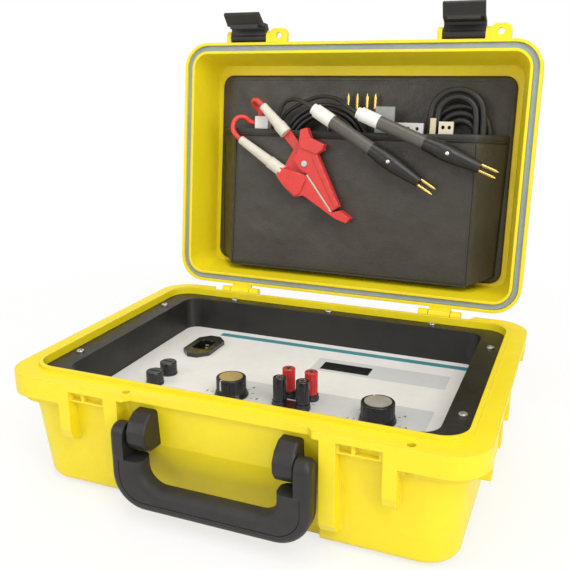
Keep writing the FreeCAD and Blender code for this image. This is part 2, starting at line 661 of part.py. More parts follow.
switches = []
for (x, y, skirt_r, body_r), side in zip(KNOBS, ("left", "right")):
    body = join([rod(x, y, PANEL_LOW - 20, PANEL_LOW, 14.0), rod(x, y, PANEL_LOW - 1, PANEL_Z + 5, BUSH_R),
                 rod(x, y, PANEL_Z, PANEL_Z + 2.2, 7.0)])
    switches.append(solid_of(less(body, [rod(x, y, PANEL_LOW - 14, PANEL_Z + 9, SHAFT_R)])))
    low = PANEL_Z + KNOB_LIFT
    top = low + KNOB_H
    skirt_cone = Part.makeCone(skirt_r, body_r + 0.5, KNOB_SKIRT_H, V(x, y, low), Z_AXIS)
    crown = rod(x, y, low, top, body_r)
    crown = crown.makeFillet(1.0, edges_at(crown, top))
    flutes = []
    for k in range(KNOB_FLUTES):
        turn = 2 * math.pi * k / KNOB_FLUTES
        flutes.append(rod(x + (body_r + 0.45) * math.cos(turn), y + (body_r + 0.45) * math.sin(turn),
                          low + KNOB_SKIRT_H, top - 1.5, 0.95))
    flutes.append(rod(x, y, low - 1, low + 5.5, 8.0))
    flutes.append(rod(x, y, top - 1.0, top + 1, body_r - 2.6))
    flutes.append(rod(x, y, low, top - 3, SHAFT_R))
    save("knob_" + side, solid_of(less(join([skirt_cone, crown]), flutes)))
    save("knob_inlay_" + side, rod(x, y, top - 1.0, top + 0.3, body_r - 2.7))
    save("switch_shaft_" + side, rod(x, y, PANEL_LOW - 13.5, top - 3.3, SHAFT_R - RUN))
save_all("rotary_switches", switches)

# Binding posts: insulating bases, socketed studs and turning caps

studs = []
bases = []
for y, colour in zip(POST_Y, ("black", "red")):
    pair = [plate((POST_X[1] - POST_X[0]) / 2 + 6.5, 6.5, 6.0, PANEL_Z, PANEL_Z + 2.5, sum(POST_X) / 2, y)]
    pair += [rod(x, y, PANEL_Z, PANEL_Z + POST_BASE_H, 6.2) for x in POST_X]
    stud_holes = [rod(x, y, PANEL_Z - 1, PANEL_Z + 9, STUD_R + 0.1) for x in POST_X]
    bases.append(solid_of(less(join(pair), stud_holes)))
    for x, side in zip(POST_X, ("left", "right")):
        stud = join([rod(x, y, PANEL_LOW - 10, PANEL_Z + POST_H, STUD_R),
                     rod(x, y, PANEL_LOW - 5, PANEL_LOW, 5.2)])
        socket = rod(x, y, PANEL_Z + POST_H - SOCKET_DEPTH, PANEL_Z + POST_H + 1, SOCKET_R)
        studs.append(solid_of(less(stud, [socket])))
        low = PANEL_Z + POST_BASE_H + 0.3
        cap = rod(x, y, low, PANEL_Z + POST_H, POST_R)
        cap = cap.makeFillet(0.8, edges_at(cap, PANEL_Z + POST_H))
        grooves = []
        for k in range(16):
            turn = 2 * math.pi * k / 16
            grooves.append(rod(x + POST_R * math.cos(turn), y + POST_R * math.sin(turn), low + 2,
                               PANEL_Z + POST_H - 7, 0.5))
        grooves.append(rod(x, y, low - 1, PANEL_Z + POST_H + 1, STUD_R + RUN))
        save("post_cap_%s_%s" % (colour, side), solid_of(less(cap, grooves)))
save_all("post_bases", bases)
save_all("post_studs", studs)

# Works under the panel

bx0, bx1, by0, by1 = BOARD
standoffs = []
for x in (bx0 + 5, bx1 - 5):
    for y in (by0 + 5, by1 - 5):
        standoffs.append(rod(x, y, BOARD_Z + BOARD_T, PANEL_LOW, STANDOFF_R))
chips = [block(x, x + 22, y, y + 12, BOARD_Z + BOARD_T - 0.5, BOARD_Z + 6)
         for x in (-50, -20, 96) for y in (12, 62)]
chips += [rod(x, 20, BOARD_Z + BOARD_T - 0.5, BOARD_Z + 15, 6) for x in (20, 40, 60, 80)]
save("circuit_board", join([block(bx0, bx1, by0, by1, BOARD_Z, BOARD_Z + BOARD_T)] + chips))
save_all("board_standoffs", standoffs)
tx0, tx1, ty0, ty1 = TRANSFORMER
core = join([block(tx0, tx1, ty0 + 14, ty1 - 14, FLOOR_Z, FLOOR_Z + TRANSFORMER_H),
             plate((tx1 - tx0) / 2 - 14, (ty1 - ty0) / 2, 6, FLOOR_Z + 4, FLOOR_Z + TRANSFORMER_H - 4,
                   (tx0 + tx1) / 2, (ty0 + ty1) / 2)])
save("transformer", core)

# Lid shell with gasket groove, hinge knuckles, latch ears and padlock tabs

band = plate(LID_HX, LID_HY, LID_R, LID_Z, LID_Z + LID_BAND)
body_x = LID_HX - LID_BODY_INSET
body_y = LID_HY - LID_BODY_INSET
lid_top = LID_Z + LID_DEPTH
dome = taper((body_x, body_y, LID_R - 3, LID_Z + LID_BAND - 1),
             (body_x - LID_DRAFT, body_y - LID_DRAFT, LID_R - 5, lid_top))
dome = dome.makeFillet(BOTTOM_EDGE_R, edges_at(dome, lid_top))
lid_parts = [band, dome]
for sx in (-1, 1):
    lid_parts.append(block(sx * 90 - 9, sx * 90 + 9, -body_y + 3, body_y - 3, lid_top - 30, lid_top + 1.5))
    xs = sorted((sx * KNUCKLE_X0, sx * KNUCKLE_X1))
    lid_parts.append(rod_x(xs[0], xs[1], HINGE_Y, HINGE_Z, KNUCKLE_R))
    lid_parts.append(block(xs[0], xs[1], LID_HY - 4, HINGE_Y, LID_Z, HINGE_Z + KNUCKLE_R))
front = -LID_HY
pivot_y = -LID_HY - LATCH_OUT
pivot_z = LID_Z + LATCH_RISE
ear_profile = [(front + 3, LID_Z + 0.2), (front - 8, LID_Z + 0.2), (front - 11.5, pivot_z),
               (front - 8, LID_Z + 9.5),
               (front + 3, LID_Z + LID_BAND)]
latch_pins = []
lid_cuts = []
tab_y = -LID_HY - PADLOCK_OUT
for centre in (-LATCH_X, LATCH_X):
    near = LATCH_W / 2 + LATCH_EAR_GAP
    lid_parts.append(prism_yz(ear_profile, centre + near, centre + near + LATCH_EAR_T))
    lid_parts.append(prism_yz(ear_profile, centre - near - LATCH_EAR_T, centre - near))
    tab = plate(TAB_W / 2, 12, 6, LID_Z + 0.8, LID_Z + 0.8 + TAB_T, centre + TAB_OFFSET, tab_y + 5)
    lid_parts.append(tab)
    lid_cuts.append(rod(centre + TAB_OFFSET, tab_y, LID_Z - 1, LID_Z + 30, PADLOCK_R))
    reach = near + LATCH_EAR_T
    lid_cuts.append(rod_x(centre - reach - 1, centre + reach + 1, pivot_y, pivot_z, LATCH_PIN_R))
    latch_pins.append(rod_x(centre - reach, centre + reach, pivot_y, pivot_z, LATCH_PIN_R - RUN))
lid_cuts.append(taper((LID_HX - LID_MOUTH, LID_HY - LID_MOUTH, LID_R - LID_MOUTH, LID_Z - 0.01),
                      (LID_FLOOR_X, LID_FLOOR_Y, 12, LID_Z + LID_INNER)))
groove = plate(LID_HX - GROOVE_IN, LID_HY - GROOVE_IN, LID_R - GROOVE_IN, LID_Z - 1, LID_Z + GROOVE_D)
groove_in = GROOVE_IN + GROOVE_W
groove = groove.cut(plate(LID_HX - groove_in, LID_HY - groove_in, LID_R - groove_in, LID_Z - 2, LID_Z + 20))
lid_cuts.append(groove)
for sx in (-1, 1):
    lid_cuts.append(rod_x(sx * 106.5 - 30, sx * 106.5 + 30, HINGE_Y, HINGE_Z, HINGE_PIN_R))
case_lid = solid_of(less(join(lid_parts), lid_cuts))
save("case_lid", opened(case_lid))
ring_out = GROOVE_IN + 0.3
ring_in = groove_in - 0.3
gasket = plate(LID_HX - ring_out, LID_HY - ring_out, LID_R - ring_out,
               LID_Z + GROOVE_D - GASKET_T, LID_Z + GROOVE_D)
gasket = gasket.cut(plate(LID_HX - ring_in, LID_HY - ring_in, LID_R - ring_in, LID_Z, LID_Z + 20))
save("lid_gasket", opened(gasket))
save_all("latch_pins", [opened(p) for p in latch_pins])

# Latches: hooked covers that swing on the lid ears

latch_profile = [(pivot_y, pivot_z + 4), (-FLANGE_Y - 1, pivot_z + 4), (-FLANGE_Y - 5, pivot_z + 0.5),
                 (-FLANGE_Y - 5, FLANGE_Z + 1), (-FLANGE_Y - 13, FLANGE_Z - 10.5),
                 (-FLANGE_Y - 10.5, FLANGE_Z - 12), (-FLANGE_Y - 3.5, FLANGE_Z - 4.6),
                 (-FLANGE_Y - 1.3, FLANGE_Z - 3), (-FLANGE_Y - 1.3, LEDGE_Z - 0.5),
                 (-FLANGE_Y + 0.5, LEDGE_Z + 1.2), (pivot_y, LEDGE_Z + 1.2)]
for centre, rest, side in ((-LATCH_X, LATCH_LEFT_REST, "left"), (LATCH_X, LATCH_RIGHT_REST, "right")):
    x0 = centre - LATCH_W / 2
    x1 = centre + LATCH_W / 2
    latch = join([prism_yz(latch_profile, x0, x1), rod_x(x0, x1, pivot_y, pivot_z, LATCH_KNUCKLE_R),
                  block(centre - HOOK_W / 2, centre + HOOK_W / 2, -FLANGE_Y - 2.5, -FLANGE_Y + 1.5,
                        FLANGE_Z - 4.6, FLANGE_Z - 1.6)])
    slots = [rod_x(x0 - 1, x1 + 1, pivot_y, pivot_z, LATCH_PIN_R)]
    slots += [block(centre + dx - 1.2, centre + dx + 1.2, -FLANGE_Y - 8, -FLANGE_Y - 4,
                    FLANGE_Z + 2, pivot_z - 1)
              for dx in (-12, 12)]
    slots += [block(centre - 9, centre + 9, -FLANGE_Y - 6, -FLANGE_Y - 4.2, FLANGE_Z + 2, pivot_z - 1)]
    latch = solid_of(less(latch, slots))
    latch.rotate(V(0, pivot_y, pivot_z), X_AXIS, -rest)
    save("latch_" + side, opened(latch))

# Lid pouch: stiff back and an open topped pocket with slanted gussets

back_w = LID_INNER - BACK_T
back_half = LID_FLOOR_Y - (BACK_FOOT_GAP + BACK_TOP_GAP) / 2
back = plate(LID_FLOOR_X - BACK_SIDE_GAP, back_half, 12, LID_Z + back_w, LID_Z + LID_INNER, 0,
             (BACK_TOP_GAP - BACK_FOOT_GAP) / 2)
save("pouch_back", opened(back))


def pocket_wire(half_top, half_low, low, top, w):
    points = [(-half_low, low), (half_low, low), (half_top, top), (-half_top, top)]
    return Part.makePolygon([lid_point(x, r, w) for x, r in points + points[:1]])


t = POCKET_T
pocket_out = Part.makeLoft([pocket_wire(*POCKET_FRONT, POCKET_TOP, POCKET_W),
                            pocket_wire(*POCKET_BACK, POCKET_TOP, back_w)], True, True)
pocket_in = Part.makeLoft([pocket_wire(POCKET_FRONT[0] - t, POCKET_FRONT[1] - t, POCKET_FRONT[2] + t,
                                       POCKET_TOP + 5, POCKET_W + t),
                           pocket_wire(POCKET_BACK[0] - t, POCKET_BACK[1] - t, POCKET_BACK[2] + t,
                                       POCKET_TOP + 5, back_w + 1)], True, True)
save("pouch_pocket", opened(solid_of(pocket_out.cut(pocket_in))))

# Probes lying on the pocket, with their leads and coils

probe_starts = []
collars = []
probe_pins = []
for (x0, r0, x1, r1), side in zip(PROBE_STARTS, ("left", "right")):
    start = lid_point(x0, r0, PROBE_W)
    way = lid_way(x1 - x0, r1 - r0, 0)
    across = way.cross(Z_AXIS)
    taper_at = PROBE_LEN - PROBE_TAPER_LEN
    widest = taper_at - PROBE_BARREL_LEN
    swell = widest - PROBE_SWELL_LEN
    stops = (COLLAR_STEP_LEN, COLLAR_LEN, swell, widest, taper_at, PROBE_LEN)
    step_end, tube_at, swell_at, barrel_at, cone_at, tip_at = [start.add(V(way).multiply(d)) for d in stops]
    collar = join([Part.makeCylinder(COLLAR_R - COLLAR_STEP, COLLAR_STEP_LEN + 1, start, way),
                   Part.makeCylinder(COLLAR_R, COLLAR_LEN - COLLAR_STEP_LEN, step_end, way)])
    collars.append(opened(collar))
    body = join([Part.makeCylinder(PROBE_TUBE_R, swell - COLLAR_LEN, tube_at, way),
                 Part.makeCone(PROBE_TUBE_R, PROBE_R, PROBE_SWELL_LEN, swell_at, way),
                 Part.makeCylinder(PROBE_R, PROBE_BARREL_LEN, barrel_at, way),
                 Part.makeCone(PROBE_R, PROBE_TIP_R, PROBE_TAPER_LEN, cone_at, way)])
    tip_cuts = []
    for s in (-1, 1):
        root = tip_at.add(V(across).multiply(s * 3.0))
        inner = root.sub(V(way).multiply(8))
        tip_cuts.append(Part.makeCylinder(PROBE_PIN_R, 9, inner, way))
        pin = Part.makeCylinder(PROBE_PIN_R, PROBE_PIN_LEN + 5, inner, way)
        point = inner.add(V(way).multiply(PROBE_PIN_LEN + 5))
        pin = join([pin, Part.makeCone(PROBE_PIN_R, 0.3, 3, point, way)])
        probe_pins.append(opened(pin))
    save("probe_" + side, opened(solid_of(less(body, tip_cuts))))
    probe_starts.append((start, V(way).multiply(-1)))
save_all("probe_collars", collars)
save_all("probe_pins", probe_pins)

coil_x, coil_r = COIL_CENTRE
entry_x = coil_x - COIL_R
lead_rows = [[(-60, 194, 14, -0.93, 0.0, 0.36), (entry_x, 166, COIL_W[0], 0, -1, 0)],
             [(-14, 197, 15, -1, 0.05, 0.3), (-56, 189, 24.5, -0.8, -0.6, 0.05),
              (entry_x, 160, COIL_W[1], 0, -1, 0)]]
leads = []
coils = []
plugs = []
for i, side in enumerate(("left", "right")):
    w = COIL_W[i]
    nodes = [probe_starts[i]] + lid_nodes(lead_rows[i] + [(entry_x, coil_r, w, 0, -1, 0)])
    leads.append(opened(hose("probe_lead_" + side, nodes, PROBE_LEAD_R)))
    radii = [COIL_R - COIL_PITCH / 2 * k for k in range(7 - i)]
    rows = half_turns(coil_x, coil_r, w, radii + [COIL_END_R], -1)
    x, r, w, dx, dr, dw = rows[-1]
    rows.append((x, r + dr * 4, w, 0, dr, 0))
    coils.append(opened(hose("probe_coil_" + side, lid_nodes(rows), PROBE_LEAD_R)))
    plugs.append(opened(Part.makeCylinder(PIN_PLUG_R, 25, lid_point(x, r + dr * 4, w), lid_way(0, dr, 0))))
save_all("probe_leads", leads)
save_all("probe_coils", coils)

# Clip with two sleeved handles, its sprung jaw and the red leads

clip_low = [(-73, 118), (-63, 106), (-52, 97), (-42, 99), (-7, 78), (5, 74), (9, 79), (-2, 86), (-12.3, 83.2),
            (-40.5, 119.3), (-47, 121.5), (-60, 124), (-68, 126)]
clip_lug = [(-68, 126), (-60, 122), (-40.5, 119.3), (-32, 124), (-33, 138), (-48, 147), (-67, 169),
            (-74, 162), (-58, 145)]
jaw_outline = [(-48, 165), (-41, 167), (-37, 157), (-22, 151), (-23, 145), (-29, 141), (-3, 90), (-10, 85),
               (-38, 121), (-46, 125), (-54, 135), (-50, 142)]
clip_ridge = [(-62, 107.2), (-50, 98.2), (-45.6, 101.2), (-39.2, 116.2), (-42, 119.2), (-55, 122.5)]
jaw_ridge = [(-48, 154), (-37.2, 156.2), (-22.4, 150.6), (-23.4, 145.3), (-29.6, 141.6), (-46.5, 147)]
jaw_rib = [(-33.5, 138), (-29.5, 139.6), (-4.2, 91.2), (-7.2, 88.9)]
px, pr = CLIP_PIVOT
pin_hole = Part.makeCylinder(CLIP_PIN_R + RUN, 20, lid_point(px, pr, 0), Z_AXIS)
clip_body = join([lid_prism(clip_low, CLIP_W0, CLIP_W1), lid_prism(clip_lug, LUG_W0, CLIP_W1),
                  lid_prism(clip_ridge, CLIP_W0 - CLIP_RIDGE, CLIP_W0 + 1)])
clip_body = solid_of(clip_body.cut(pin_hole))
save("clip_body", opened(clip_body))
clip_jaw = join([lid_prism(jaw_outline, CLIP_W0, JAW_W1),
                 lid_prism(jaw_ridge, CLIP_W0 - CLIP_RIDGE, CLIP_W0 + 1),
                 lid_prism(jaw_rib, CLIP_W0 - JAW_RIB, CLIP_W0 + 1)])
save("clip_jaw", opened(solid_of(clip_jaw.cut(pin_hole))))
pin_len = CLIP_W1 - CLIP_W0 + 0.8
clip_pin = join([Part.makeCylinder(CLIP_PIN_R, pin_len, lid_point(px, pr, CLIP_W0 - 0.8), Z_AXIS),
                 Part.makeCylinder(CLIP_HEAD_R, 1.0, lid_point(px, pr, CLIP_W0 - 1.3), Z_AXIS)])
save("clip_pin", opened(clip_pin))
contact = [(-40.5, 119.3), (-12.3, 83.2), (-10.57, 84.55), (-38.77, 120.65)]
save("clip_contact", opened(lid_prism(contact, 5, LUG_W0 - 0.2)))
sleeves = []
sleeve_ends = []
for x0, r0, x1, r1 in ((-93, 188, -66, 161), (-117, 153, -68, 122)):
    way = lid_way(x1 - x0, r1 - r0, 0)
    start = lid_point(x0, r0, 9.2)
    length = math.hypot(x1 - x0, r1 - r0)
    sleeve = join([Part.makeCone(4.2, 5.8, length * 0.75, start, way),
                   Part.makeCylinder(6.4, length * 0.3, start.add(V(way).multiply(length * 0.7)), way)])
    sleeves.append(opened(solid_of(sleeve.cut(clip_body))))
    sleeve_ends.append((start, V(way).multiply(-1)))
save_all("clip_sleeves", sleeves)
tag = lid_prism([(-106, 164.5), (-91, 164.5), (-91, 178), (-106, 178)], TAG_W - 4, TAG_W + 4)
save("lead_tag", opened(tag))
red_rows = [[(-106, 192, 14.5, -0.55, -0.5, 0.55), (-101.5, 178.2, TAG_W, 0, -1, 0)],
            [(-128, 168, 12, 0, 1, 0.2), (-120, 177, 18, 0.9, 0, 0.4), (-106.2, 171, TAG_W, 1, 0, 0)]]
reds = [opened(hose("red_lead_" + n, [e] + lid_nodes(rows), RED_LEAD_R))
        for n, e, rows in zip(("upper", "lower"), sleeve_ends, red_rows)]
save_all("red_leads", reds)
red_x, red_r = RED_CENTRE
red_radii = [RED_R - RED_PITCH / 2 * k for k in range(5)]
rows = [(red_x - RED_R, 164.3, TAG_W, 0, -1, 0)]
rows += half_turns(red_x, red_r, RED_W[0], red_radii, -1)
x, r, w, dx, dr, dw = rows[-1]
inner = red_radii[-1] - RED_PITCH / 2
rows.append((x - dr * inner, r + dr * inner, sum(RED_W) / 2, -dr, 0, 0.13))
rows.append((x - dr * 2 * inner, r, RED_W[1], 0, -dr, 0))
out = half_turns(rows[-1][0] + red_radii[-1], red_r, RED_W[1], red_radii[::-1], -1)
rows += out[1:]
x, r, w, dx, dr, dw = rows[-1]
rows.append((x, r + dr * 8, w, 0, dr, 0))
save("red_lead_coil", opened(hose("red_lead_coil", lid_nodes(rows), RED_LEAD_R)))
plugs.append(opened(Part.makeCylinder(4.4, 32, lid_point(x, r + dr * 8, w), lid_way(0, dr, 0))))
save_all("lead_plugs", plugs)

# Small accessories standing in the pocket


def card(x0, x1, r0, r1, w0, w1, hole_spots=()):
    shape = lid_prism([(x0, r0), (x1, r0), (x1, r1), (x0, r1)], w0, w1)
    for hx, hr in hole_spots:
        shape = shape.cut(Part.makeCylinder(1.8, 20, lid_point(hx, hr, w0 - 5), Z_AXIS))
    return opened(solid_of(shape))


save_all("adapter_cards", [card(24.5, 44, 23.6, 190, 19, 21.5),
                           card(45.5, 73, 24.2, 175, 20, 23, ((58, 169.5), (67, 169.5))),
                           card(79.5, 85, 23.8, 180, 20, 22),
                           card(88, 102, 23.8, 177, 20, 22, ((92, 171.5), (98, 171.5))),
                           card(-14, 24, 30.2, 188, 31.5, 38)])
tips = []
for x in (-9.0, 0.5, 11.0, 19.5):
    tip = join([Part.makeCylinder(1.5, 12, lid_point(x, 188, 34.7), lid_way(0, 1, 0)),
                Part.makeCone(1.5, 0.3, 4, lid_point(x, 200, 34.7), lid_way(0, 1, 0))])
    tips.append(opened(tip))
save_all("spare_tips", tips)

# Mains cord: two layers of nested loops standing in the pocket, with its connector and plug


def turn(left, right, next_left, foot, top, w):
    """One turn up the left run, over the crest, down the right run and under to the next left run."""
    crest = (right - left) / 2
    under = (right - next_left) / 2
    return [(left, top, w, 0, 1, 0), (left + crest, top + crest, w, 1, 0, 0), (right, top, w, 0, -1, 0),
            (right, foot, w, 0, -1, 0), (next_left + under, foot - under, w, -1, 0, 0),
            (next_left, foot, w, 0, 1, 0)]


w_back, w_front = CORD_W
cord_rows = [(58, 91, 32, 0, 1, 0)]
cord_rows += turn(77, 129, 84, 110, 182, w_front)
cord_rows += turn(84, 122, 91, 110, 182, w_front)
cord_rows += turn(91, 121, 84, 110, 164, w_back)
cord_rows += turn(84, 128, 77, 110, 164, w_back)
cord_rows += turn(77, 135, 84, 106, 164, w_back)[:4]
cord_rows.append((PLUG_X, 70, 33, 0, -1, 0))
save("power_cord", opened(hose("power_cord", lid_nodes(cord_rows), CORD_R)))
connector = plate(13.5, 19, 4, LID_Z + 24.4, LID_Z + 39.6, 58, LID_HY - 66)
neck = Part.makeCone(6.5, 4.6, 7, lid_point(58, 84, 32), lid_way(0, 1, 0))
connector = join([connector, neck])
for dx in (-6.5, 0, 6.5):
    connector = connector.cut(block(58 + dx - 1.1, 58 + dx + 1.1, LID_HY - 62, LID_HY - 40,
                                    LID_Z + 30, LID_Z + 34.5))
save("power_connector", opened(solid_of(connector)))
plug = plate(10, 11, 5, LID_Z + 26, LID_Z + 39.5, PLUG_X, LID_HY - 53)
neck = Part.makeCone(6.5, 4.6, 7, lid_point(PLUG_X, 63, 33), lid_way(0, 1, 0))
prongs = [Part.makeCylinder(2.2, 12, lid_point(PLUG_X + dx, 43, 33), lid_way(0, -1, 0)) for dx in (-6, 6)]
save("power_plug", opened(join([plug, neck] + prongs)))
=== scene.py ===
import math

import bmesh
import bpy
from mathutils import Matrix, Vector, noise


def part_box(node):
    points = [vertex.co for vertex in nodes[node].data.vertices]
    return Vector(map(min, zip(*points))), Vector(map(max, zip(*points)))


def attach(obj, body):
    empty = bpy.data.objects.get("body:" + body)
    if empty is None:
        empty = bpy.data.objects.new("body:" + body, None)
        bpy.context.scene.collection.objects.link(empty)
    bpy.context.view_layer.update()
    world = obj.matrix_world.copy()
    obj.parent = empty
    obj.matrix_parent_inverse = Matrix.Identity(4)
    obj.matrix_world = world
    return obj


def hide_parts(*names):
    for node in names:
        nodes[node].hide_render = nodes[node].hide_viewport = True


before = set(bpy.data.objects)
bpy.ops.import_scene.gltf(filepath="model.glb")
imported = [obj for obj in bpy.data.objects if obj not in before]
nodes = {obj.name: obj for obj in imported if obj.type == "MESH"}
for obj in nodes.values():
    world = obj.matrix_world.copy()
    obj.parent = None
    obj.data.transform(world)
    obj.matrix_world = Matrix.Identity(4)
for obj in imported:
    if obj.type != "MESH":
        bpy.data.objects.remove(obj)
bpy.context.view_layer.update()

MM = 0.001
LID_HINGE_Y = 132.4
LID_HINGE_Z = 97.8
LID_SIN = 0.12187        # the open lid leans 7 degrees back from upright
LID_COS = 0.99255
LID_REAR = 7.4           # hinge line to the lid's rear edge
LID_RISE = 0.7
PANEL_TOP = 64.0
KNOB_LEFT = (-33.0, -41.0)
KNOB_RIGHT = (94.5, -42.0)


def lid_point(x, r, w):
    """A point given in lid measures, in metres in the shared frame."""
    along = LID_REAR + r
    behind = LID_RISE + w
    y = LID_HINGE_Y + LID_SIN * along + LID_COS * behind
    z = LID_HINGE_Z + LID_COS * along - LID_SIN * behind
    return Vector((x, y, z)) * MM


def lid_way(x, r, w):
    """A direction given in lid measures."""
    return Vector((x, LID_SIN * r + LID_COS * w, LID_COS * r - LID_SIN * w)).normalized()


# Materials

CLOUD_LOW = 0.36         # the band of the noise over which a colour goes from its dark to its light tone
CLOUD_HIGH = 0.64
GRAIN_HEIGHT = 0.0006
CREASE_HEIGHT = 0.004
TURNING_HEIGHT = 0.0003
SMUDGE_HEIGHT = 0.0002
EDGE_FLAT = 0.995        # cosine between the plain and the rounded normal on a flat, and on a worn edge
EDGE_WORN = 0.86
LIGHTEST = 0.97
FINE_SCALE = 11          # the fine noise of a finish against its patches, and their shares of the cloud
PATCH_SHARE = 0.65
FINE_SHARE = 0.35
GLOSS_SCALE = 4.3
SCUFF_SCALE = 160.0
TURNING_SCALE = 2600.0
TURNING_SHARE = 0.6      # of the turning marks and of the cloud in brushed metal
SMEAR_SHARE = 0.4


def clipped(colour, factor):
    """A colour made lighter or darker, and never quite white."""
    return tuple(min(LIGHTEST, c * factor) for c in colour) + (1.0,)


class Nodes:
    """A small helper that adds shader nodes to one material."""

    def __init__(self, name):
        self.material = bpy.data.materials.new(name)
        self.material.use_nodes = True
        self.tree = self.material.node_tree
        self.tree.nodes.clear()
        out = self.add("ShaderNodeOutputMaterial")
        self.shader = self.add("ShaderNodeBsdfPrincipled")
        self.link(self.shader.outputs[0], out.inputs[0])
        self.place = self.add("ShaderNodeTexCoord").outputs["Object"]

    def add(self, kind, **settings):
        node = self.tree.nodes.new(kind)
        for key, value in settings.items():
            setattr(node, key, value)
        return node

    def link(self, a, b):
        self.tree.links.new(a, b)

    def noise(self, scale, detail=3.0, roughness=0.55, distortion=0.0):
        node = self.add("ShaderNodeTexNoise")
        node.inputs["Scale"].default_value = scale
        node.inputs["Detail"].default_value = detail
        node.inputs["Roughness"].default_value = roughness
        node.inputs["Distortion"].default_value = distortion
        self.link(self.place, node.inputs["Vector"])
        return node.outputs["Fac"]

    def cells(self, scale):
        node = self.add("ShaderNodeTexVoronoi", feature="SMOOTH_F1")
        node.inputs["Scale"].default_value = scale
        self.link(self.place, node.inputs["Vector"])
        return node.outputs["Distance"]

    def span(self, value, low, high, to_low, to_high):
        node = self.add("ShaderNodeMapRange")
        for key, number in (("From Min", low), ("From Max", high), ("To Min", to_low), ("To Max", to_high)):
            node.inputs[key].default_value = number
        self.link(value, node.inputs["Value"])
        return node.outputs["Result"]

    def math(self, operation, a, b):
        node = self.add("ShaderNodeMath", operation=operation)
        for socket, value in ((node.inputs[0], a), (node.inputs[1], b)):
            if isinstance(value, (int, float)):
                socket.default_value = value
            else:
                self.link(value, socket)
        return node.outputs[0]

    def mix(self, factor, a, b):
        node = self.add("ShaderNodeMix", data_type="RGBA")
        for socket, value in ((node.inputs[0], factor), (node.inputs[6], a), (node.inputs[7], b)):
            if isinstance(value, (int, float, tuple)):
                socket.default_value = value
            else:
                self.link(value, socket)
        return node.outputs[2]

    def share(self, cloud, low=0.0):
        """How far a cloudy colour has gone from its first tone to its second."""
        return self.span(cloud, CLOUD_LOW, CLOUD_HIGH, low, 1.0)

    def distance(self, dx, dy):
        squares = self.math("ADD", self.math("MULTIPLY", dx, dx), self.math("MULTIPLY", dy, dy))
        return self.math("SQRT", squares, 0.0)

    def bump(self, height, strength, distance, normal=None):
        """A normal with relief, on top of another normal where one is given."""
        node = self.add("ShaderNodeBump")
        node.inputs["Strength"].default_value = strength
        node.inputs["Distance"].default_value = distance
        self.link(height, node.inputs["Height"])
        if normal is not None:
            self.link(normal, node.inputs["Normal"])
        return node.outputs[0]

    def axes(self):
        node = self.add("ShaderNodeSeparateXYZ")
        self.link(self.place, node.inputs[0])
        return node.outputs

    def box_mask(self, axes, x0, x1, y0, y1):
        """One inside the rectangle, in millimetres across x and y, and zero outside."""
        inside = self.math("GREATER_THAN", axes[0], x0 * MM)
        for operation, axis, edge in (("LESS_THAN", 0, x1), ("GREATER_THAN", 1, y0), ("LESS_THAN", 1, y1)):
            inside = self.math("MULTIPLY", inside, self.math(operation, axes[axis], edge * MM))
        return inside

    def worn_edges(self, radius):
        """One along sharp edges and zero on the flats."""
        rounded = self.add("ShaderNodeBevel", samples=4)
        rounded.inputs["Radius"].default_value = radius
        flat = self.add("ShaderNodeNewGeometry")
        turn = self.add("ShaderNodeVectorMath", operation="DOT_PRODUCT")
        self.link(rounded.outputs[0], turn.inputs[0])
        self.link(flat.outputs["Normal"], turn.inputs[1])
        return rounded.outputs[0], self.span(turn.outputs["Value"], EDGE_FLAT, EDGE_WORN, 0.0, 1.0)


def finish(name, colour, rough, grain=900.0, depth=0.10, mottle=0.05, mottle_scale=14.0, metal=0.0,
           coat=0.0, wear=None, wear_amount=0.5, edge=0.0008, pattern="noise", picture=None, creases=None):
    """A moulded, painted or metal surface with grain, uneven colour and gloss, and worn edges."""
    n = Nodes(name)
    patches = n.noise(mottle_scale, 4.0)
    fine = n.noise(mottle_scale * FINE_SCALE, 3.0)
    cloud = n.math("ADD", n.math("MULTIPLY", patches, PATCH_SHARE), n.math("MULTIPLY", fine, FINE_SHARE))
    if picture is None:
        paint = n.mix(n.share(cloud), clipped(colour, 1 - mottle), clipped(colour, 1 + mottle))
    else:
        paint = picture(n, cloud)
    normal = None
    if wear is not None:
        normal, edges = n.worn_edges(edge)
        scuffs = n.span(n.noise(SCUFF_SCALE, 5.0, 0.7), 0.42, 0.66, 0.15, 1.0)
        factor = n.math("MULTIPLY", n.math("MULTIPLY", edges, scuffs), wear_amount)
        paint = n.mix(factor, paint, wear + (1.0,))
    n.link(paint, n.shader.inputs["Base Color"])
    gloss = n.span(n.noise(mottle_scale * GLOSS_SCALE, 4.0), 0.3, 0.7,
                   max(0.04, rough - 0.07), min(1.0, rough + 0.09))
    n.link(gloss, n.shader.inputs["Roughness"])
    height = n.cells(grain) if pattern == "cells" else n.noise(grain, 2.0)
    if creases is not None:
        scale, strength = creases
        normal = n.bump(n.noise(scale, 3.0, 0.5, 0.3), strength, CREASE_HEIGHT, normal)
    n.link(n.bump(height, depth, GRAIN_HEIGHT, normal), n.shader.inputs["Normal"])
    n.shader.inputs["Metallic"].default_value = metal
    n.shader.inputs["Coat Weight"].default_value = coat
    return n.material


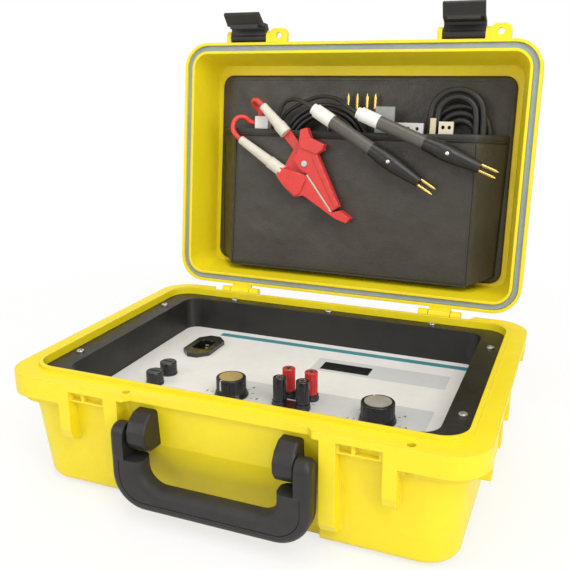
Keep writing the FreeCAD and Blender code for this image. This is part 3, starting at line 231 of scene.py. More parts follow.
def brushed(name, colour, centre=None, rough=0.32):
    """Metal with fine turning marks round a centre, or with a fine grain where none is given."""
    n = Nodes(name)
    if centre is None:
        lines = n.noise(900.0, 2.0)
    else:
        axes = n.axes()
        away = n.distance(n.math("SUBTRACT", axes[0], centre[0] * MM),
                          n.math("SUBTRACT", axes[1], centre[1] * MM))
        ring = n.add("ShaderNodeTexNoise", noise_dimensions="1D")
        ring.inputs["Scale"].default_value = TURNING_SCALE
        ring.inputs["Detail"].default_value = 2.0
        n.link(away, ring.inputs["W"])
        lines = ring.outputs["Fac"]
    smear = n.math("MULTIPLY", n.noise(120.0), SMEAR_SHARE)
    cloud = n.math("ADD", n.math("MULTIPLY", lines, TURNING_SHARE), smear)
    n.link(n.mix(n.span(cloud, 0.35, 0.65, 0.0, 1.0), clipped(colour, 0.86), clipped(colour, 1.10)),
           n.shader.inputs["Base Color"])
    n.link(n.span(lines, 0.3, 0.7, rough - 0.08, rough + 0.12), n.shader.inputs["Roughness"])
    n.link(n.bump(lines, 0.12, TURNING_HEIGHT), n.shader.inputs["Normal"])
    n.shader.inputs["Metallic"].default_value = 1.0
    return n.material


# Rectangles on the panel, from x to x and from y to y

PANEL_FIELDS = [(8.5, 132, 35.3, 65), (-48, 133, -75, -9.5)]
PANEL_STRIPE = (-108, 150.2, 84, 92)


def panel_picture(n, cloud):
    """Off-white panel with two pale grey fields and a teal stripe, and no words."""
    axes = n.axes()
    share = n.share(cloud)
    paint = n.mix(share, (0.80, 0.785, 0.755, 1), (0.86, 0.845, 0.815, 1))
    grey = n.mix(share, (0.61, 0.615, 0.61, 1), (0.66, 0.665, 0.66, 1))
    teal = n.mix(share, (0.05, 0.24, 0.27, 1), (0.07, 0.29, 0.32, 1))
    for field in PANEL_FIELDS:
        paint = n.mix(n.box_mask(axes, *field), paint, grey)
    return n.mix(n.box_mask(axes, *PANEL_STRIPE), paint, teal)


# The cards' colours, each from its share of the way across them

CARDS_X = (-0.020, 0.110)
CARD_COLOURS = [(0.0, (0.02, 0.02, 0.02, 1)), (0.341, (0.33, 0.34, 0.34, 1)),
                (0.499, (0.72, 0.71, 0.68, 1)), (0.74, (0.70, 0.60, 0.38, 1)),
                (0.82, (0.75, 0.69, 0.52, 1))]


def card_picture(n, cloud):
    """The adapter cards, told apart by where they stand across the pocket."""
    ramp = n.add("ShaderNodeValToRGB")
    ramp.color_ramp.interpolation = "CONSTANT"
    n.link(n.span(n.axes()[0], *CARDS_X, 0.0, 1.0), ramp.inputs[0])
    elements = ramp.color_ramp.elements
    for k, (position, colour) in enumerate(CARD_COLOURS):
        element = elements[k] if k < 2 else elements.new(position)
        element.position = position
        element.color = colour
    return n.mix(n.share(cloud, 0.8), (0.01, 0.01, 0.01, 1), ramp.outputs[0])


def probe_picture(start, end):
    """Grey sleeving on the rear of a probe and black plastic on its front, told apart along its axis."""
    origin = lid_point(start[0], start[1], PROBE_AXIS_W)
    way = lid_way(end[0] - start[0], end[1] - start[1], 0)

    def picture(n, cloud):
        axes = n.axes()
        along = n.math("MULTIPLY", axes[0], way.x)
        along = n.math("ADD", along, n.math("MULTIPLY", axes[1], way.y))
        along = n.math("ADD", along, n.math("MULTIPLY", axes[2], way.z))
        front = n.math("GREATER_THAN", along, origin.dot(way) + PROBE_SLEEVE_END * MM)
        share = n.share(cloud)
        grey = n.mix(share, (0.085, 0.078, 0.068, 1), (0.106, 0.098, 0.087, 1))
        dark = n.mix(share, (0.013, 0.012, 0.011, 1), (0.019, 0.018, 0.016, 1))
        return n.mix(front, grey, dark)

    return picture


def glass(name, colour, rough=0.06):
    """Glass of the display or a fuse, with faint smudges."""
    n = Nodes(name)
    smudge = n.noise(60.0, 4.0)
    n.link(n.mix(n.span(smudge, 0.35, 0.65, 0.0, 1.0), clipped(colour, 0.8), clipped(colour, 1.3)),
           n.shader.inputs["Base Color"])
    n.link(n.span(smudge, 0.3, 0.7, rough, rough + 0.12), n.shader.inputs["Roughness"])
    n.link(n.bump(n.noise(300.0), 0.02, SMUDGE_HEIGHT), n.shader.inputs["Normal"])
    n.shader.inputs["Coat Weight"].default_value = 0.5
    return n.material


# Each probe's axis, from its rear end to its tip, in lid measures

PROBE_AXES = {"left": ((-36.0, 186.0), (91.0, 110.0)), "right": ((10.5, 183.0), (149.0, 128.5))}
PROBE_AXIS_W = 5.2
PROBE_SLEEVE_END = 73.0

# Colours and finishes

YELLOW = (0.83, 0.675, 0.008)
BLACK = (0.0150, 0.0132, 0.0112)
LEATHER = (0.044, 0.038, 0.030)
yellow = finish("case_yellow", YELLOW, 0.42, grain=1500, depth=0.07, mottle=0.035, wear=(0.96, 0.86, 0.30),
                wear_amount=0.35, edge=0.0011)
black = finish("black_plastic", BLACK, 0.46, grain=1300, depth=0.12, mottle=0.16, wear=(0.10, 0.095, 0.09))
rubber = finish("grip_rubber", (0.020, 0.019, 0.018), 0.62, grain=800, depth=0.22, mottle=0.18,
                wear=(0.07, 0.066, 0.06), pattern="cells")
bezel = finish("bezel_black", (0.0135, 0.0120, 0.0105), 0.40, grain=700, depth=0.16, mottle=0.15,
               wear=(0.085, 0.08, 0.075), pattern="cells")
gasket = finish("gasket_rubber", (0.30, 0.37, 0.42), 0.66, grain=1800, depth=0.15, mottle=0.10)
steel = finish("steel", (0.55, 0.55, 0.56), 0.34, grain=900, depth=0.06, mottle=0.08, metal=1.0,
               wear=(0.75, 0.75, 0.75))
nickel = brushed("nickel", (0.66, 0.63, 0.57))
blade = finish("clip_blade", (0.74, 0.69, 0.58), 0.36, grain=900, depth=0.05, mottle=0.08, metal=1.0,
               wear=(0.85, 0.80, 0.70))
gold = finish("gold_pins", (0.86, 0.62, 0.18), 0.24, grain=1200, depth=0.04, mottle=0.07, metal=1.0,
              wear=(0.92, 0.75, 0.36))
panel = finish("face_panel", (0.78, 0.77, 0.74), 0.38, grain=1600, depth=0.04, picture=panel_picture,
               wear=(0.60, 0.60, 0.58))
window = glass("display_window", (0.006, 0.008, 0.007))
display = finish("display_module", (0.03, 0.035, 0.03), 0.5, grain=900, mottle=0.15)
board = finish("circuit_board", (0.02, 0.16, 0.06), 0.42, grain=500, depth=0.14, mottle=0.22)
core = finish("transformer_core", (0.16, 0.11, 0.07), 0.55, grain=700, depth=0.20, mottle=0.2,
              wear=(0.35, 0.33, 0.30))
post_red = finish("post_red", (0.56, 0.022, 0.020), 0.30, grain=1400, depth=0.04, mottle=0.07, coat=0.2,
                  wear=(0.75, 0.14, 0.12))
post_black = finish("post_black", (0.012, 0.0115, 0.011), 0.22, grain=1400, depth=0.04, mottle=0.14, coat=0.3,
                    wear=(0.09, 0.09, 0.09))
knob = finish("knob_black", (0.011, 0.0105, 0.010), 0.27, grain=1500, depth=0.07, mottle=0.15,
              wear=(0.09, 0.085, 0.08))
gold_inlay = brushed("knob_gold", (0.80, 0.66, 0.36), centre=KNOB_LEFT, rough=0.46)
silver_inlay = brushed("knob_silver", (0.86, 0.84, 0.80), centre=KNOB_RIGHT, rough=0.46)
clip_red = finish("clip_red", (0.66, 0.040, 0.034), 0.34, grain=900, depth=0.08, mottle=0.09,
                  wear=(0.86, 0.30, 0.26), wear_amount=0.7)
ivory = finish("ivory", (0.66, 0.62, 0.53), 0.50, grain=700, depth=0.12, mottle=0.07, wear=(0.80, 0.77, 0.70))
collar = finish("collar_white", (0.78, 0.77, 0.73), 0.46, grain=900, depth=0.10, mottle=0.06,
                wear=(0.60, 0.58, 0.54))
probes = {side: finish("probe_" + side, BLACK, 0.36, grain=900, depth=0.12, picture=probe_picture(*ends))
          for side, ends in PROBE_AXES.items()}
cards = finish("adapter_cards", (0.5, 0.5, 0.5), 0.5, grain=900, depth=0.08, picture=card_picture)
fuse_glass = glass("fuse_glass", (0.62, 0.66, 0.66), 0.05)
red_lead = finish("lead_red", (0.70, 0.050, 0.042), 0.36, grain=1200, depth=0.08, mottle=0.08)
black_lead = finish("lead_black", (0.017, 0.016, 0.015), 0.44, grain=1200, depth=0.10, mottle=0.2)
leather = finish("leatherette", LEATHER, 0.44, grain=620, depth=0.34, mottle=0.18, mottle_scale=20,
                 pattern="cells", wear=(0.11, 0.10, 0.085), edge=0.0012, creases=(17.0, 0.34))
leather_back = finish("leatherette_back", LEATHER, 0.36, grain=620, depth=0.26, mottle=0.20, mottle_scale=20,
                      pattern="cells", wear=(0.11, 0.10, 0.085), edge=0.0012, creases=(22.0, 0.55))
thread = finish("stitch_thread", (0.055, 0.050, 0.042), 0.75, grain=2500, depth=0.3, mottle=0.25)
binding = finish("edge_binding", (0.030, 0.027, 0.023), 0.58, grain=900, depth=0.25, mottle=0.18)
print_ink = finish("panel_print", (0.045, 0.050, 0.055), 0.5, grain=1500, depth=0.05, mottle=0.12)
white_mark = finish("knob_mark", (0.80, 0.80, 0.77), 0.5, grain=1500, depth=0.05, mottle=0.05)
dot_chrome = brushed("probe_dot", (0.80, 0.80, 0.80), rough=0.16)

FINISHES = {
    yellow: ["case_base", "case_lid"],
    black: ["handle_brackets", "handle_frame", "latch_left", "latch_right", "power_connector", "power_plug"],
    rubber: ["handle_grip"],
    bezel: ["panel_bezel"],
    gasket: ["lid_gasket"],
    steel: ["hinge_pins", "handle_pins", "latch_pins", "bezel_screws", "clip_pin", "inlet_blades",
            "board_standoffs", "rotary_switches", "switch_shaft_left", "switch_shaft_right"],
    nickel: ["post_studs"],
    blade: ["clip_contact"],
    gold: ["probe_pins", "spare_tips"],
    panel: ["face_panel"],
    window: ["display_window"],
    display: ["display_module"],
    board: ["circuit_board"],
    core: ["transformer"],
    post_red: ["post_cap_red_left", "post_cap_red_right"],
    post_black: ["post_cap_black_left", "post_cap_black_right", "post_bases", "fuse_holders", "fuse_cap_rear",
                 "fuse_cap_front", "ac_inlet", "lead_plugs"],
    knob: ["knob_left", "knob_right"],
    gold_inlay: ["knob_inlay_left"],
    silver_inlay: ["knob_inlay_right"],
    clip_red: ["clip_body", "clip_jaw"],
    ivory: ["clip_sleeves"],
    collar: ["probe_collars", "lead_tag"],
    probes["left"]: ["probe_left"],
    probes["right"]: ["probe_right"],
    cards: ["adapter_cards"],
    fuse_glass: ["fuse_links"],
    red_lead: ["red_leads", "red_lead_coil"],
    black_lead: ["probe_leads", "probe_coils", "power_cord"],
    leather: ["pouch_pocket"],
    leather_back: ["pouch_back"],
}
finish_of = {name: material for material, names in FINISHES.items() for name in names}
for name, node in nodes.items():
    node.data.materials.clear()
    node.data.materials.append(finish_of[name])


# Mesh helpers

def placed(name, data):
    """A new object for a mesh, curve, lamp or camera, in the scene."""
    made = bpy.data.objects.new(name, data)
    bpy.context.scene.collection.objects.link(made)
    return made


def mesh_object(name, points, faces, material, smooth=True):
    mesh = bpy.data.meshes.new(name)
    mesh.from_pydata([tuple(p) for p in points], [], faces)
    mesh.validate()
    for polygon in mesh.polygons:
        polygon.use_smooth = smooth
    mesh.materials.append(material)
    return placed(name, mesh)


def grid_faces(columns, rows):
    """The faces of a sheet whose points follow each other row by row."""
    faces = []
    for j in range(rows - 1):
        for i in range(columns - 1):
            a = j * columns + i
            faces.append((a, a + 1, a + columns + 1, a + columns))
    return faces


def tube_faces(start, rings, around):
    """The wall and both ends of a tube whose rings of points follow each other from start."""
    faces = []
    for k in range(rings - 1):
        low = start + k * around
        for a in range(around):
            b = (a + 1) % around
            faces.append((low + a, low + b, low + around + b, low + around + a))
    faces.append(tuple(start + a for a in range(around))[::-1])
    faces.append(tuple(start + (rings - 1) * around + a for a in range(around)))
    return faces


STITCH_THICK = 0.8
STITCH_END = 0.1         # how thick a stitch still is at its ends, against its middle


def stitches(name, spots, length, material):
    """A row of sewn stitches: each spot is a point, a way along the seam and a way out of the cloth."""
    around, along = 6, 5
    thick = STITCH_THICK * MM
    points, faces = [], []
    for centre, way, out in spots:
        side = way.cross(out).normalized()
        start = len(points)
        for k in range(along):
            t = -1 + 2 * k / (along - 1)
            swell = math.sqrt(max(0.0, 1 - t * t)) * (1 - STITCH_END) + STITCH_END
            for a in range(around):
                angle = 2 * math.pi * a / around
                points.append(centre + way * (t * length / 2) + side * (math.cos(angle) * swell * thick / 2)
                              + out * (math.sin(angle) * swell * thick / 2))
        faces += tube_faces(start, along, around)
    return mesh_object(name, points, faces, material)


# Lid pouch: the back board covered in leatherette, and the open pocket in front of it

BACK_HALF_X = 156.0
BACK_R = (21.0, 222.0)
BACK_W = (42.5, 45.0)
BACK_CORNER = 12.0
BACK_MIDDLE_R = sum(BACK_R) / 2
BACK_HALF_R = (BACK_R[1] - BACK_R[0]) / 2
BACK_EDGE = 5.0          # the drawn-down edge, and how far in its seam runs
BACK_EDGE_THICK = 0.9
BACK_CROWN = 1.6
BACK_DENT = 0.55
BACK_DENT_WIDTH = 1.3
BACK_CROWDING = 1.5      # how much closer the points stand towards the edges


def spread(k, count):
    """From -1 to 1 in count points, closer together near both ends."""
    t = -1 + 2 * k / (count - 1)
    return math.copysign(1 - (1 - abs(t)) ** BACK_CROWDING, t)


def pouch_back():
    """A covered board: a shallow crown, drawn down at the sewn edge, with rounded corners."""
    columns, rows = 66, 44
    front, back = [], []
    for j in range(rows):
        for i in range(columns):
            x, r = spread(i, columns) * BACK_HALF_X, spread(j, rows) * BACK_HALF_R
            over_x = max(0.0, abs(x) - (BACK_HALF_X - BACK_CORNER))
            over_r = max(0.0, abs(r) - (BACK_HALF_R - BACK_CORNER))
            reach = math.hypot(over_x, over_r)
            if over_x > 0 and over_r > 0:
                pull = max(over_x, over_r) / reach
                x -= math.copysign(over_x * (1 - pull), x)
                r -= math.copysign(over_r * (1 - pull), r)
                reach = max(over_x, over_r)
            inward = BACK_CORNER - reach
            edge = min(1.0, inward / BACK_EDGE)
            lift = BACK_CROWN * math.sqrt(max(0.0, edge * (2 - edge)))
            soft = (0.45 * noise.noise(Vector((x * 0.022, r * 0.030, 3.1)))
                    + 0.30 * noise.noise(Vector((x * 0.055 + r * 0.02, r * 0.07, 8.2))))
            dent = BACK_DENT * math.exp(-((inward - BACK_EDGE) / BACK_DENT_WIDTH) ** 2)
            w = BACK_W[1] - BACK_EDGE_THICK - lift + dent - soft * edge
            front.append(lid_point(x, BACK_MIDDLE_R + r, w))
            back.append(lid_point(x, BACK_MIDDLE_R + r, BACK_W[1]))
    count = len(front)
    faces = grid_faces(columns, rows)
    faces += [tuple(v + count for v in face[::-1]) for face in grid_faces(columns, rows)]
    ring = list(range(columns)) + [j * columns + columns - 1 for j in range(1, rows)]
    ring += [(rows - 1) * columns + i for i in range(columns - 2, -1, -1)]
    ring += [j * columns for j in range(rows - 2, 0, -1)]
    for k, v in enumerate(ring):
        u = ring[(k + 1) % len(ring)]
        faces.append((u, v, v + count, u + count))
    return mesh_object("pouch_board", front + back, faces, leather_back)


BACK_STITCH = 2.4
BACK_STITCH_PITCH = 3.4
BACK_STITCH_LIFT = 0.35
CORNER_STITCHES = 3


def back_seam():
    """Places round the board, a little in from its edge, for the stitches."""
    half_x = BACK_HALF_X - BACK_EDGE
    half_r = BACK_HALF_R - BACK_EDGE
    corner = BACK_CORNER - BACK_EDGE
    spots = []
    sides = [((-1, -1), (1, -1), 0), ((1, -1), (1, 1), 90), ((1, 1), (-1, 1), 180), ((-1, 1), (-1, -1), 270)]
    for (ax, ar), (bx, br), heading in sides:
        start = Vector((ax * half_x, ar * half_r))
        end = Vector((bx * half_x, br * half_r))
        way = (end - start).normalized()
        length = (end - start).length - 2 * corner
        count = int(length / BACK_STITCH_PITCH)
        for k in range(count):
            p = start + way * (corner + (k + 0.5) * length / count)
            spots.append((p.x, p.y, way.x, way.y))
        centre = end - way * corner + Vector((-way.y, way.x)) * corner
        for k in range(CORNER_STITCHES):
            angle = math.radians(heading - 90 + (k + 0.5) * 90 / CORNER_STITCHES)
            spots.append((centre.x + corner * math.cos(angle), centre.y + corner * math.sin(angle),
                          -math.sin(angle), math.cos(angle)))
    out = lid_way(0, 0, -1)
    w = BACK_W[0] + BACK_STITCH_LIFT
    return [(lid_point(x, BACK_MIDDLE_R + r, w), lid_way(dx, dr, 0), out) for x, r, dx, dr in spots]


# The pocket: r up the lid, w into it, and shares of its width and height

POCKET_TOP_R = 165.0
POCKET_FRONT_HALF = (127.0, 126.0)     # at the foot and at the top
POCKET_FRONT_FOOT = 20.0
POCKET_BACK_HALF = (150.0, 153.0)
POCKET_BACK_FOOT = 30.0
POCKET_FRONT_W = 16.0
POCKET_BACK_W = 42.3
GUSSET_SHARE = 0.13
GUSSET_FOLD = 2.0
FOOT_SHARE = 0.15
FOOT_DIP = 1.4
FRONT_ROUND = 0.54       # how far the front's corners are rounded off
FRONT_ROUND_WIDTH = 0.13
HEM_SAG = 1.2
SLACK_START = 1.2        # how far in from the front's corners the cloth is fully loose
CLOTH = 1.2


def pocket_slack(x, r, up, across, inner):
    """How far the loose cloth of the pocket's front stands in or out."""
    waves = (1.10 * noise.noise(Vector((x * 0.017, r * 0.021, 1.7)))
             + 1.00 * noise.noise(Vector((x * 0.040 + r * 0.014, r * 0.046 - x * 0.010, 7.3)))
             + 0.42 * noise.noise(Vector((x * 0.085, r * 0.10 + x * 0.03, 4.4)))
             + 0.50 * math.sin(0.050 * (x + 0.9 * r)) * (1 - up)
             + 0.55 * math.sin(0.062 * (x - 1.3 * r)) * max(0.0, across) * up)
    belly = 0.6 * inner * math.sin(math.pi * min(1.0, up * 1.15)) * (1 - across * across)
    return inner * waves + (0.35 * inner - belly)


def pocket_spot(a, b):
    """The pocket's outer skin in lid measures: a runs from the left seam to the right one, and b from the
    foot seam to the top."""
    side = (1 - abs(a)) / GUSSET_SHARE
    foot = b / FOOT_SHARE
    near = min(side, foot)
    depth = max(0.0, min(1.0, near))
    up = max(0.0, (b - FOOT_SHARE) / (1 - FOOT_SHARE))
    across = max(-1.0, min(1.0, a / (1 - GUSSET_SHARE)))
    back_r = POCKET_BACK_FOOT + up * (POCKET_TOP_R - POCKET_BACK_FOOT)
    back_x = across * (POCKET_BACK_HALF[0] + up * (POCKET_BACK_HALF[1] - POCKET_BACK_HALF[0]))
    front_r = POCKET_FRONT_FOOT + up * (POCKET_TOP_R - POCKET_FRONT_FOOT)
    front_x = across * (POCKET_FRONT_HALF[0] + up * (POCKET_FRONT_HALF[1] - POCKET_FRONT_HALF[0]))
    x = back_x + depth * (front_x - back_x)
    r = back_r + depth * (front_r - back_r)
    w = POCKET_BACK_W + depth * (POCKET_FRONT_W - POCKET_BACK_W)
    w += FRONT_ROUND * math.exp(-((near - 1.0) / FRONT_ROUND_WIDTH) ** 2)
    if near >= 1.0:
        w += pocket_slack(x, r, up, across, min(1.0, (near - 1.0) / SLACK_START))
    elif side <= foot:
        rise = b * b * (3 - 2 * b)
        x -= math.copysign(GUSSET_FOLD * math.sin(math.pi * max(0.0, side)) * (0.35 + 0.65 * rise), a)
    else:
        r -= FOOT_DIP * math.sin(math.pi * foot) * min(1.0, side - foot)
    r -= HEM_SAG * (1 - across * across) * b ** 6 * depth
    return x, r, w


def pocket_point(a, b):
    return lid_point(*pocket_spot(a, b))


def pouch_pocket():
    """The pocket's skin from seam to seam, as cloth with a thickness."""
    columns, rows = 150, 84
    points = [pocket_point(-1 + 2 * i / (columns - 1), j / (rows - 1))
              for j in range(rows) for i in range(columns)]
    made = mesh_object("pouch_pocket_skin", points, grid_faces(columns, rows), leather)
    solid = made.modifiers.new("thickness", "SOLIDIFY")
    solid.thickness = CLOTH * MM
    solid.offset = -1.0
    return made


def pocket_frame(a, b):
    """A point on the pocket, the ways across it and up it, and the way out of it."""
    step = 0.002
    across = pocket_point(min(1.0, a + step), b) - pocket_point(max(-1.0, a - step), b)
    upward = pocket_point(a, min(1.0, b + step)) - pocket_point(a, max(0.0, b - step))
    across.normalize()
    upward.normalize()
    return pocket_point(a, b), across, upward, across.cross(upward).normalized()


# The binding's section: depth into the cloth, and height past its edge

BINDING_SECTION = [(-0.85, -7.0), (-0.85, -0.1), (-0.4, 0.6), (0.9, 0.6), (1.9, -0.1), (1.9, -7.0),
                   (1.3, -7.2), (1.25, -0.6), (-0.05, -0.6), (-0.15, -7.2)]
BINDING_REACH = 0.995


def pocket_binding():
    """The folded strip sewn over the pocket's open edge."""
    count = 120
    points = []
    for i in range(count):
        a = -BINDING_REACH + 2 * BINDING_REACH * i / (count - 1)
        here, _, upward, out = pocket_frame(a, 1.0)
        for depth, height in BINDING_SECTION:
            points.append(here - out * (depth * MM) + upward * (height * MM))
    return mesh_object("pouch_binding", points, tube_faces(0, count, len(BINDING_SECTION)), binding)


PIPING_RADIUS = 1.05
PIPING_TOP = 0.955       # where the piping ends below the hem, and how far it runs down each side
PIPING_RUN = 0.80
PIPING_FOOT = 0.155
PIPING_LEAN = 0.6        # how far the ridge turns out to the side, and down at the foot
PIPING_DROOP = -0.5


def pocket_piping():
    """A sewn ridge along the front corners of the pocket: down one side, along the foot and up the other."""
    corner = 1 - GUSSET_SHARE
    side_steps, foot_steps, around = 60, 160, 8
    trail = [(-corner, PIPING_TOP - PIPING_RUN * k / side_steps) for k in range(side_steps)]
    trail += [(-corner + 2 * corner * k / foot_steps, FOOT_SHARE) for k in range(foot_steps + 1)]
    trail += [(corner, PIPING_FOOT + PIPING_RUN * (k + 1) / side_steps) for k in range(side_steps)]
    spots = [pocket_point(a, b) for a, b in trail]
    radius = PIPING_RADIUS * MM
    points = []
    for k, (a, b) in enumerate(trail):
        way = (spots[min(len(spots) - 1, k + 1)] - spots[max(0, k - 1)]).normalized()
        lean = math.copysign(PIPING_LEAN, a) if abs(a) > corner - 0.001 else 0.0
        droop = PIPING_DROOP if b < 0.2 else 0.0
        outward = lid_way(lean, droop, -1)
        outward = (outward - way * outward.dot(way)).normalized()
        side = way.cross(outward)
        for m in range(around):
            angle = 2 * math.pi * m / around
            points.append(spots[k] + outward * (radius * math.cos(angle)) + side * (radius * math.sin(angle)))
    return mesh_object("pouch_piping", points, tube_faces(0, len(trail), around), binding)


POCKET_STITCH = 2.2

# The seams across the pocket: height, reach to each side, pitch and lift off the cloth in mm

SEAM_ROWS = [(0.967, 0.985, 0.0112, 1.0), (0.171, 0.86, 0.0118, 0.1)]
SEAM_SIDE = 0.852
SEAM_SIDE_FOOT = 0.19
SEAM_SIDE_RUN = 0.75
SEAM_SIDE_COUNT = 40
SEAM_SIDE_LIFT = 0.1


def pocket_seam():
    """Places for the stitches along the hem, along the foot and up both sides of the front."""
    spots = []
    for b, reach, pitch, lift in SEAM_ROWS:
        count = int(2 * reach / pitch)
        for k in range(count):
            here, across, _, out = pocket_frame(-reach + (k + 0.5) * (2 * reach) / count, b)
            spots.append((here + out * (lift * MM), across, out))
    for a in (-SEAM_SIDE, SEAM_SIDE):
        for k in range(SEAM_SIDE_COUNT):
            b = SEAM_SIDE_FOOT + SEAM_SIDE_RUN * (k + 0.5) / SEAM_SIDE_COUNT
            here, _, upward, out = pocket_frame(a, b)
            spots.append((here + out * (SEAM_SIDE_LIFT * MM), upward, out))
    return spots


back_board = pouch_back()
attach(back_board, "lid")
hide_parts("pouch_back")
back_stitches = stitches("pouch_board_stitches", back_seam(), BACK_STITCH * MM, thread)
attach(back_stitches, "lid")
pocket = pouch_pocket()
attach(pocket, "lid")
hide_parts("pouch_pocket")
hem = pocket_binding()
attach(hem, "lid")
piping = pocket_piping()
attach(piping, "lid")
pocket_stitches = stitches("pouch_pocket_stitches", pocket_seam(), POCKET_STITCH * MM, thread)
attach(pocket_stitches, "lid")


# Cords, each one smooth spline along its route

SPLINE_REACH = 0.9665    # how near a spline of twelve points a turn comes to its points
HALF_TURN_POINTS = 6


def half_turn(rows, start_x, centre_r, radius, sense, w0, w1):
    """Adds one half turn from start_x, below the centre when sense is 1 and above it when it is -1.
    Returns where it ends. Turns run left to right below and right to left above."""
    centre_x = start_x + sense * radius
    reach = radius / SPLINE_REACH
    for k in range(HALF_TURN_POINTS):
        share = (k + 0.5) / HALF_TURN_POINTS
        angle = math.pi * share + (math.pi if sense > 0 else 0.0)
        rows.append((centre_x + reach * math.cos(angle), centre_r + reach * math.sin(angle),
                     w0 + share * (w1 - w0)))
    return start_x + sense * 2 * radius


def cord_piece(name, rows, radius, material, replaced):
    """A round cord on the lid as one NURBS spline, with its route in lid measures."""
    curve = bpy.data.curves.new(name, "CURVE")
    curve.dimensions = "3D"
    curve.bevel_depth = radius * MM
    curve.bevel_resolution = 5
    curve.use_fill_caps = True
    curve.resolution_u = 8
    spline = curve.splines.new("NURBS")
    spline.points.add(len(rows) - 1)
    for point, row in zip(spline.points, rows):
        point.co = tuple(lid_point(*row)) + (1.0,)
    spline.order_u = 3
    spline.use_endpoint_u = True
    curve.materials.append(material)
    made = placed(name, curve)
    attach(made, "lid")
    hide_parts(*replaced)
    return made


# The probes' leads: from the collars down into the pocket, and round in flat coils

COIL_X = -30.0
COIL_R = 143.0
COIL_RADIUS = 50.0
COIL_STEP = 2.4
COIL_END = 20.0
COIL_W = (20.5, 25.5)
COIL_TAIL = 4
LEAD_RADIUS = 2.0
LEAD_HALF_TURNS = (7, 6)
LEAD_STARTS = [
    [(-36, 186, 5.2), (-49, 193.7, 5.6), (-60, 196, 13), (-74, 193, 19.5), (-80, 180, 20.5),
     (-80, 162, 20.5)],
    [(10.5, 183, 5.2), (-1, 188, 5.6), (-14, 197.5, 14), (-36, 200, 22), (-58, 192, 24.8),
     (-76, 181, 25.5), (-80, 165, 25.5)],
]
for i, side in enumerate(("left", "right")):
    rows = list(LEAD_STARTS[i])
    x, sense = COIL_X - COIL_RADIUS, 1
    for k in range(LEAD_HALF_TURNS[i]):
        x = half_turn(rows, x, COIL_R, COIL_RADIUS - COIL_STEP * k, sense, COIL_W[i], COIL_W[i])
        sense = -sense
    x = half_turn(rows, x, COIL_R, COIL_END, sense, COIL_W[i], COIL_W[i])
    rows.append((x, COIL_R + sense * COIL_TAIL, COIL_W[i]))
    lead = cord_piece("probe_cord_" + side, rows, LEAD_RADIUS, black_lead, ("probe_leads", "probe_coils"))

# The red leads, from the clip's sleeves to the tag

RED_RADIUS = 2.5
RED_ROUTES = {
    "upper": [(-93, 188, 9.2), (-99.5, 194.5, 9.2), (-107.5, 193.5, 14), (-106.5, 187, 21),
              (-101.5, 184, 23.2), (-101.5, 178.2, 23.2)],
    "lower": [(-117, 153, 9.2), (-125.5, 158.5, 9.2), (-128.5, 168, 11.5), (-126, 176.5, 16),
              (-117, 177, 20.5), (-112.5, 171, 23.2), (-106.2, 171, 23.2)],
}
for side, length in (("upper", 0.035), ("lower", 0.051)):
    lead = cord_piece("red_lead_" + side, RED_ROUTES[side], RED_RADIUS, red_lead, ("red_leads",))

# The red lead's loops: half turns that narrow in the front layer and widen again in the back one

LOOPS_R = 120
LOOPS_WIDEST = 26
LOOPS_MIDDLE = 11.5
LOOPS_NARROWEST = 14.4
LOOPS_STEP = 2.9
LOOPS_COUNT = 5
LOOPS_W = (30.6, 36.6)
LOOPS_END_R = 128
rows = [(-98, 164.3, 23.2), (-98, 156, 23.2), (-98, 146, 27), (-98, 132, 30.6)]
x, sense = rows[-1][0], 1
for k in range(LOOPS_COUNT):
    x = half_turn(rows, x, LOOPS_R, LOOPS_WIDEST - LOOPS_STEP * k, sense, LOOPS_W[0], LOOPS_W[0])
    sense = -sense
x = half_turn(rows, x, LOOPS_R, LOOPS_MIDDLE, sense, *LOOPS_W)
sense = -sense
for k in range(LOOPS_COUNT):
    x = half_turn(rows, x, LOOPS_R, LOOPS_NARROWEST + LOOPS_STEP * k, sense, LOOPS_W[1], LOOPS_W[1])
    sense = -sense
rows.append((x, LOOPS_END_R, LOOPS_W[1]))
lead = cord_piece("red_lead_loops", rows, RED_RADIUS, red_lead, ("red_lead_coil",))


CREST_ANGLES = (165, 135, 105, 75, 45, 15)


def standing_turn(rows, left, right, next_left, foot, top, w, next_w, last=False):
    """One tall turn of the mains cord: up the left run, over the crest, down and under."""
    rows.append((left, (foot + top) / 2, w))
    crest = (right - left) / 2 / SPLINE_REACH
    for angle in CREST_ANGLES:
        a = math.radians(angle)
        rows.append(((left + right) / 2 + crest * math.cos(a), top + crest * math.sin(a), w))
    rows.append((right, (foot + top) / 2, w))
    if last:
        return
    under = (right - next_left) / 2 / SPLINE_REACH
    for k, angle in enumerate(CREST_ANGLES[::-1]):
        a = -math.radians(angle)
        share = (k + 0.5) / len(CREST_ANGLES)
        rows.append(((right + next_left) / 2 + under * math.cos(a), foot + under * math.sin(a),
                     w + share * (next_w - w)))


# Each turn of the mains cord: left run, right run, next left run, foot, top and layer

MAINS_RADIUS = 3.15
MAINS_FRONT = 28.8
MAINS_BACK = 35.6
MAINS_TURNS = [(77, 129, 84, 110, 182, MAINS_FRONT), (84, 122, 91, 110, 182, MAINS_FRONT),
               (91, 121, 84, 110, 164, MAINS_BACK), (84, 128, 77, 110, 164, MAINS_BACK),
               (77, 135, 84, 106, 164, MAINS_BACK)]
rows = [(58, 91, 32), (58, 106, 32), (62, 126, 31), (74, 138, 29.2)]
for row, following in zip(MAINS_TURNS, MAINS_TURNS[1:]):
    standing_turn(rows, *row, following[-1])
standing_turn(rows, *MAINS_TURNS[-1], MAINS_BACK, last=True)
rows += [(134, 104, 35.2), (118, 88, 33), (118, 70, 33)]
cord = cord_piece("mains_cord", rows, MAINS_RADIUS, black_lead, ("power_cord",))


# Small printed and fitted details

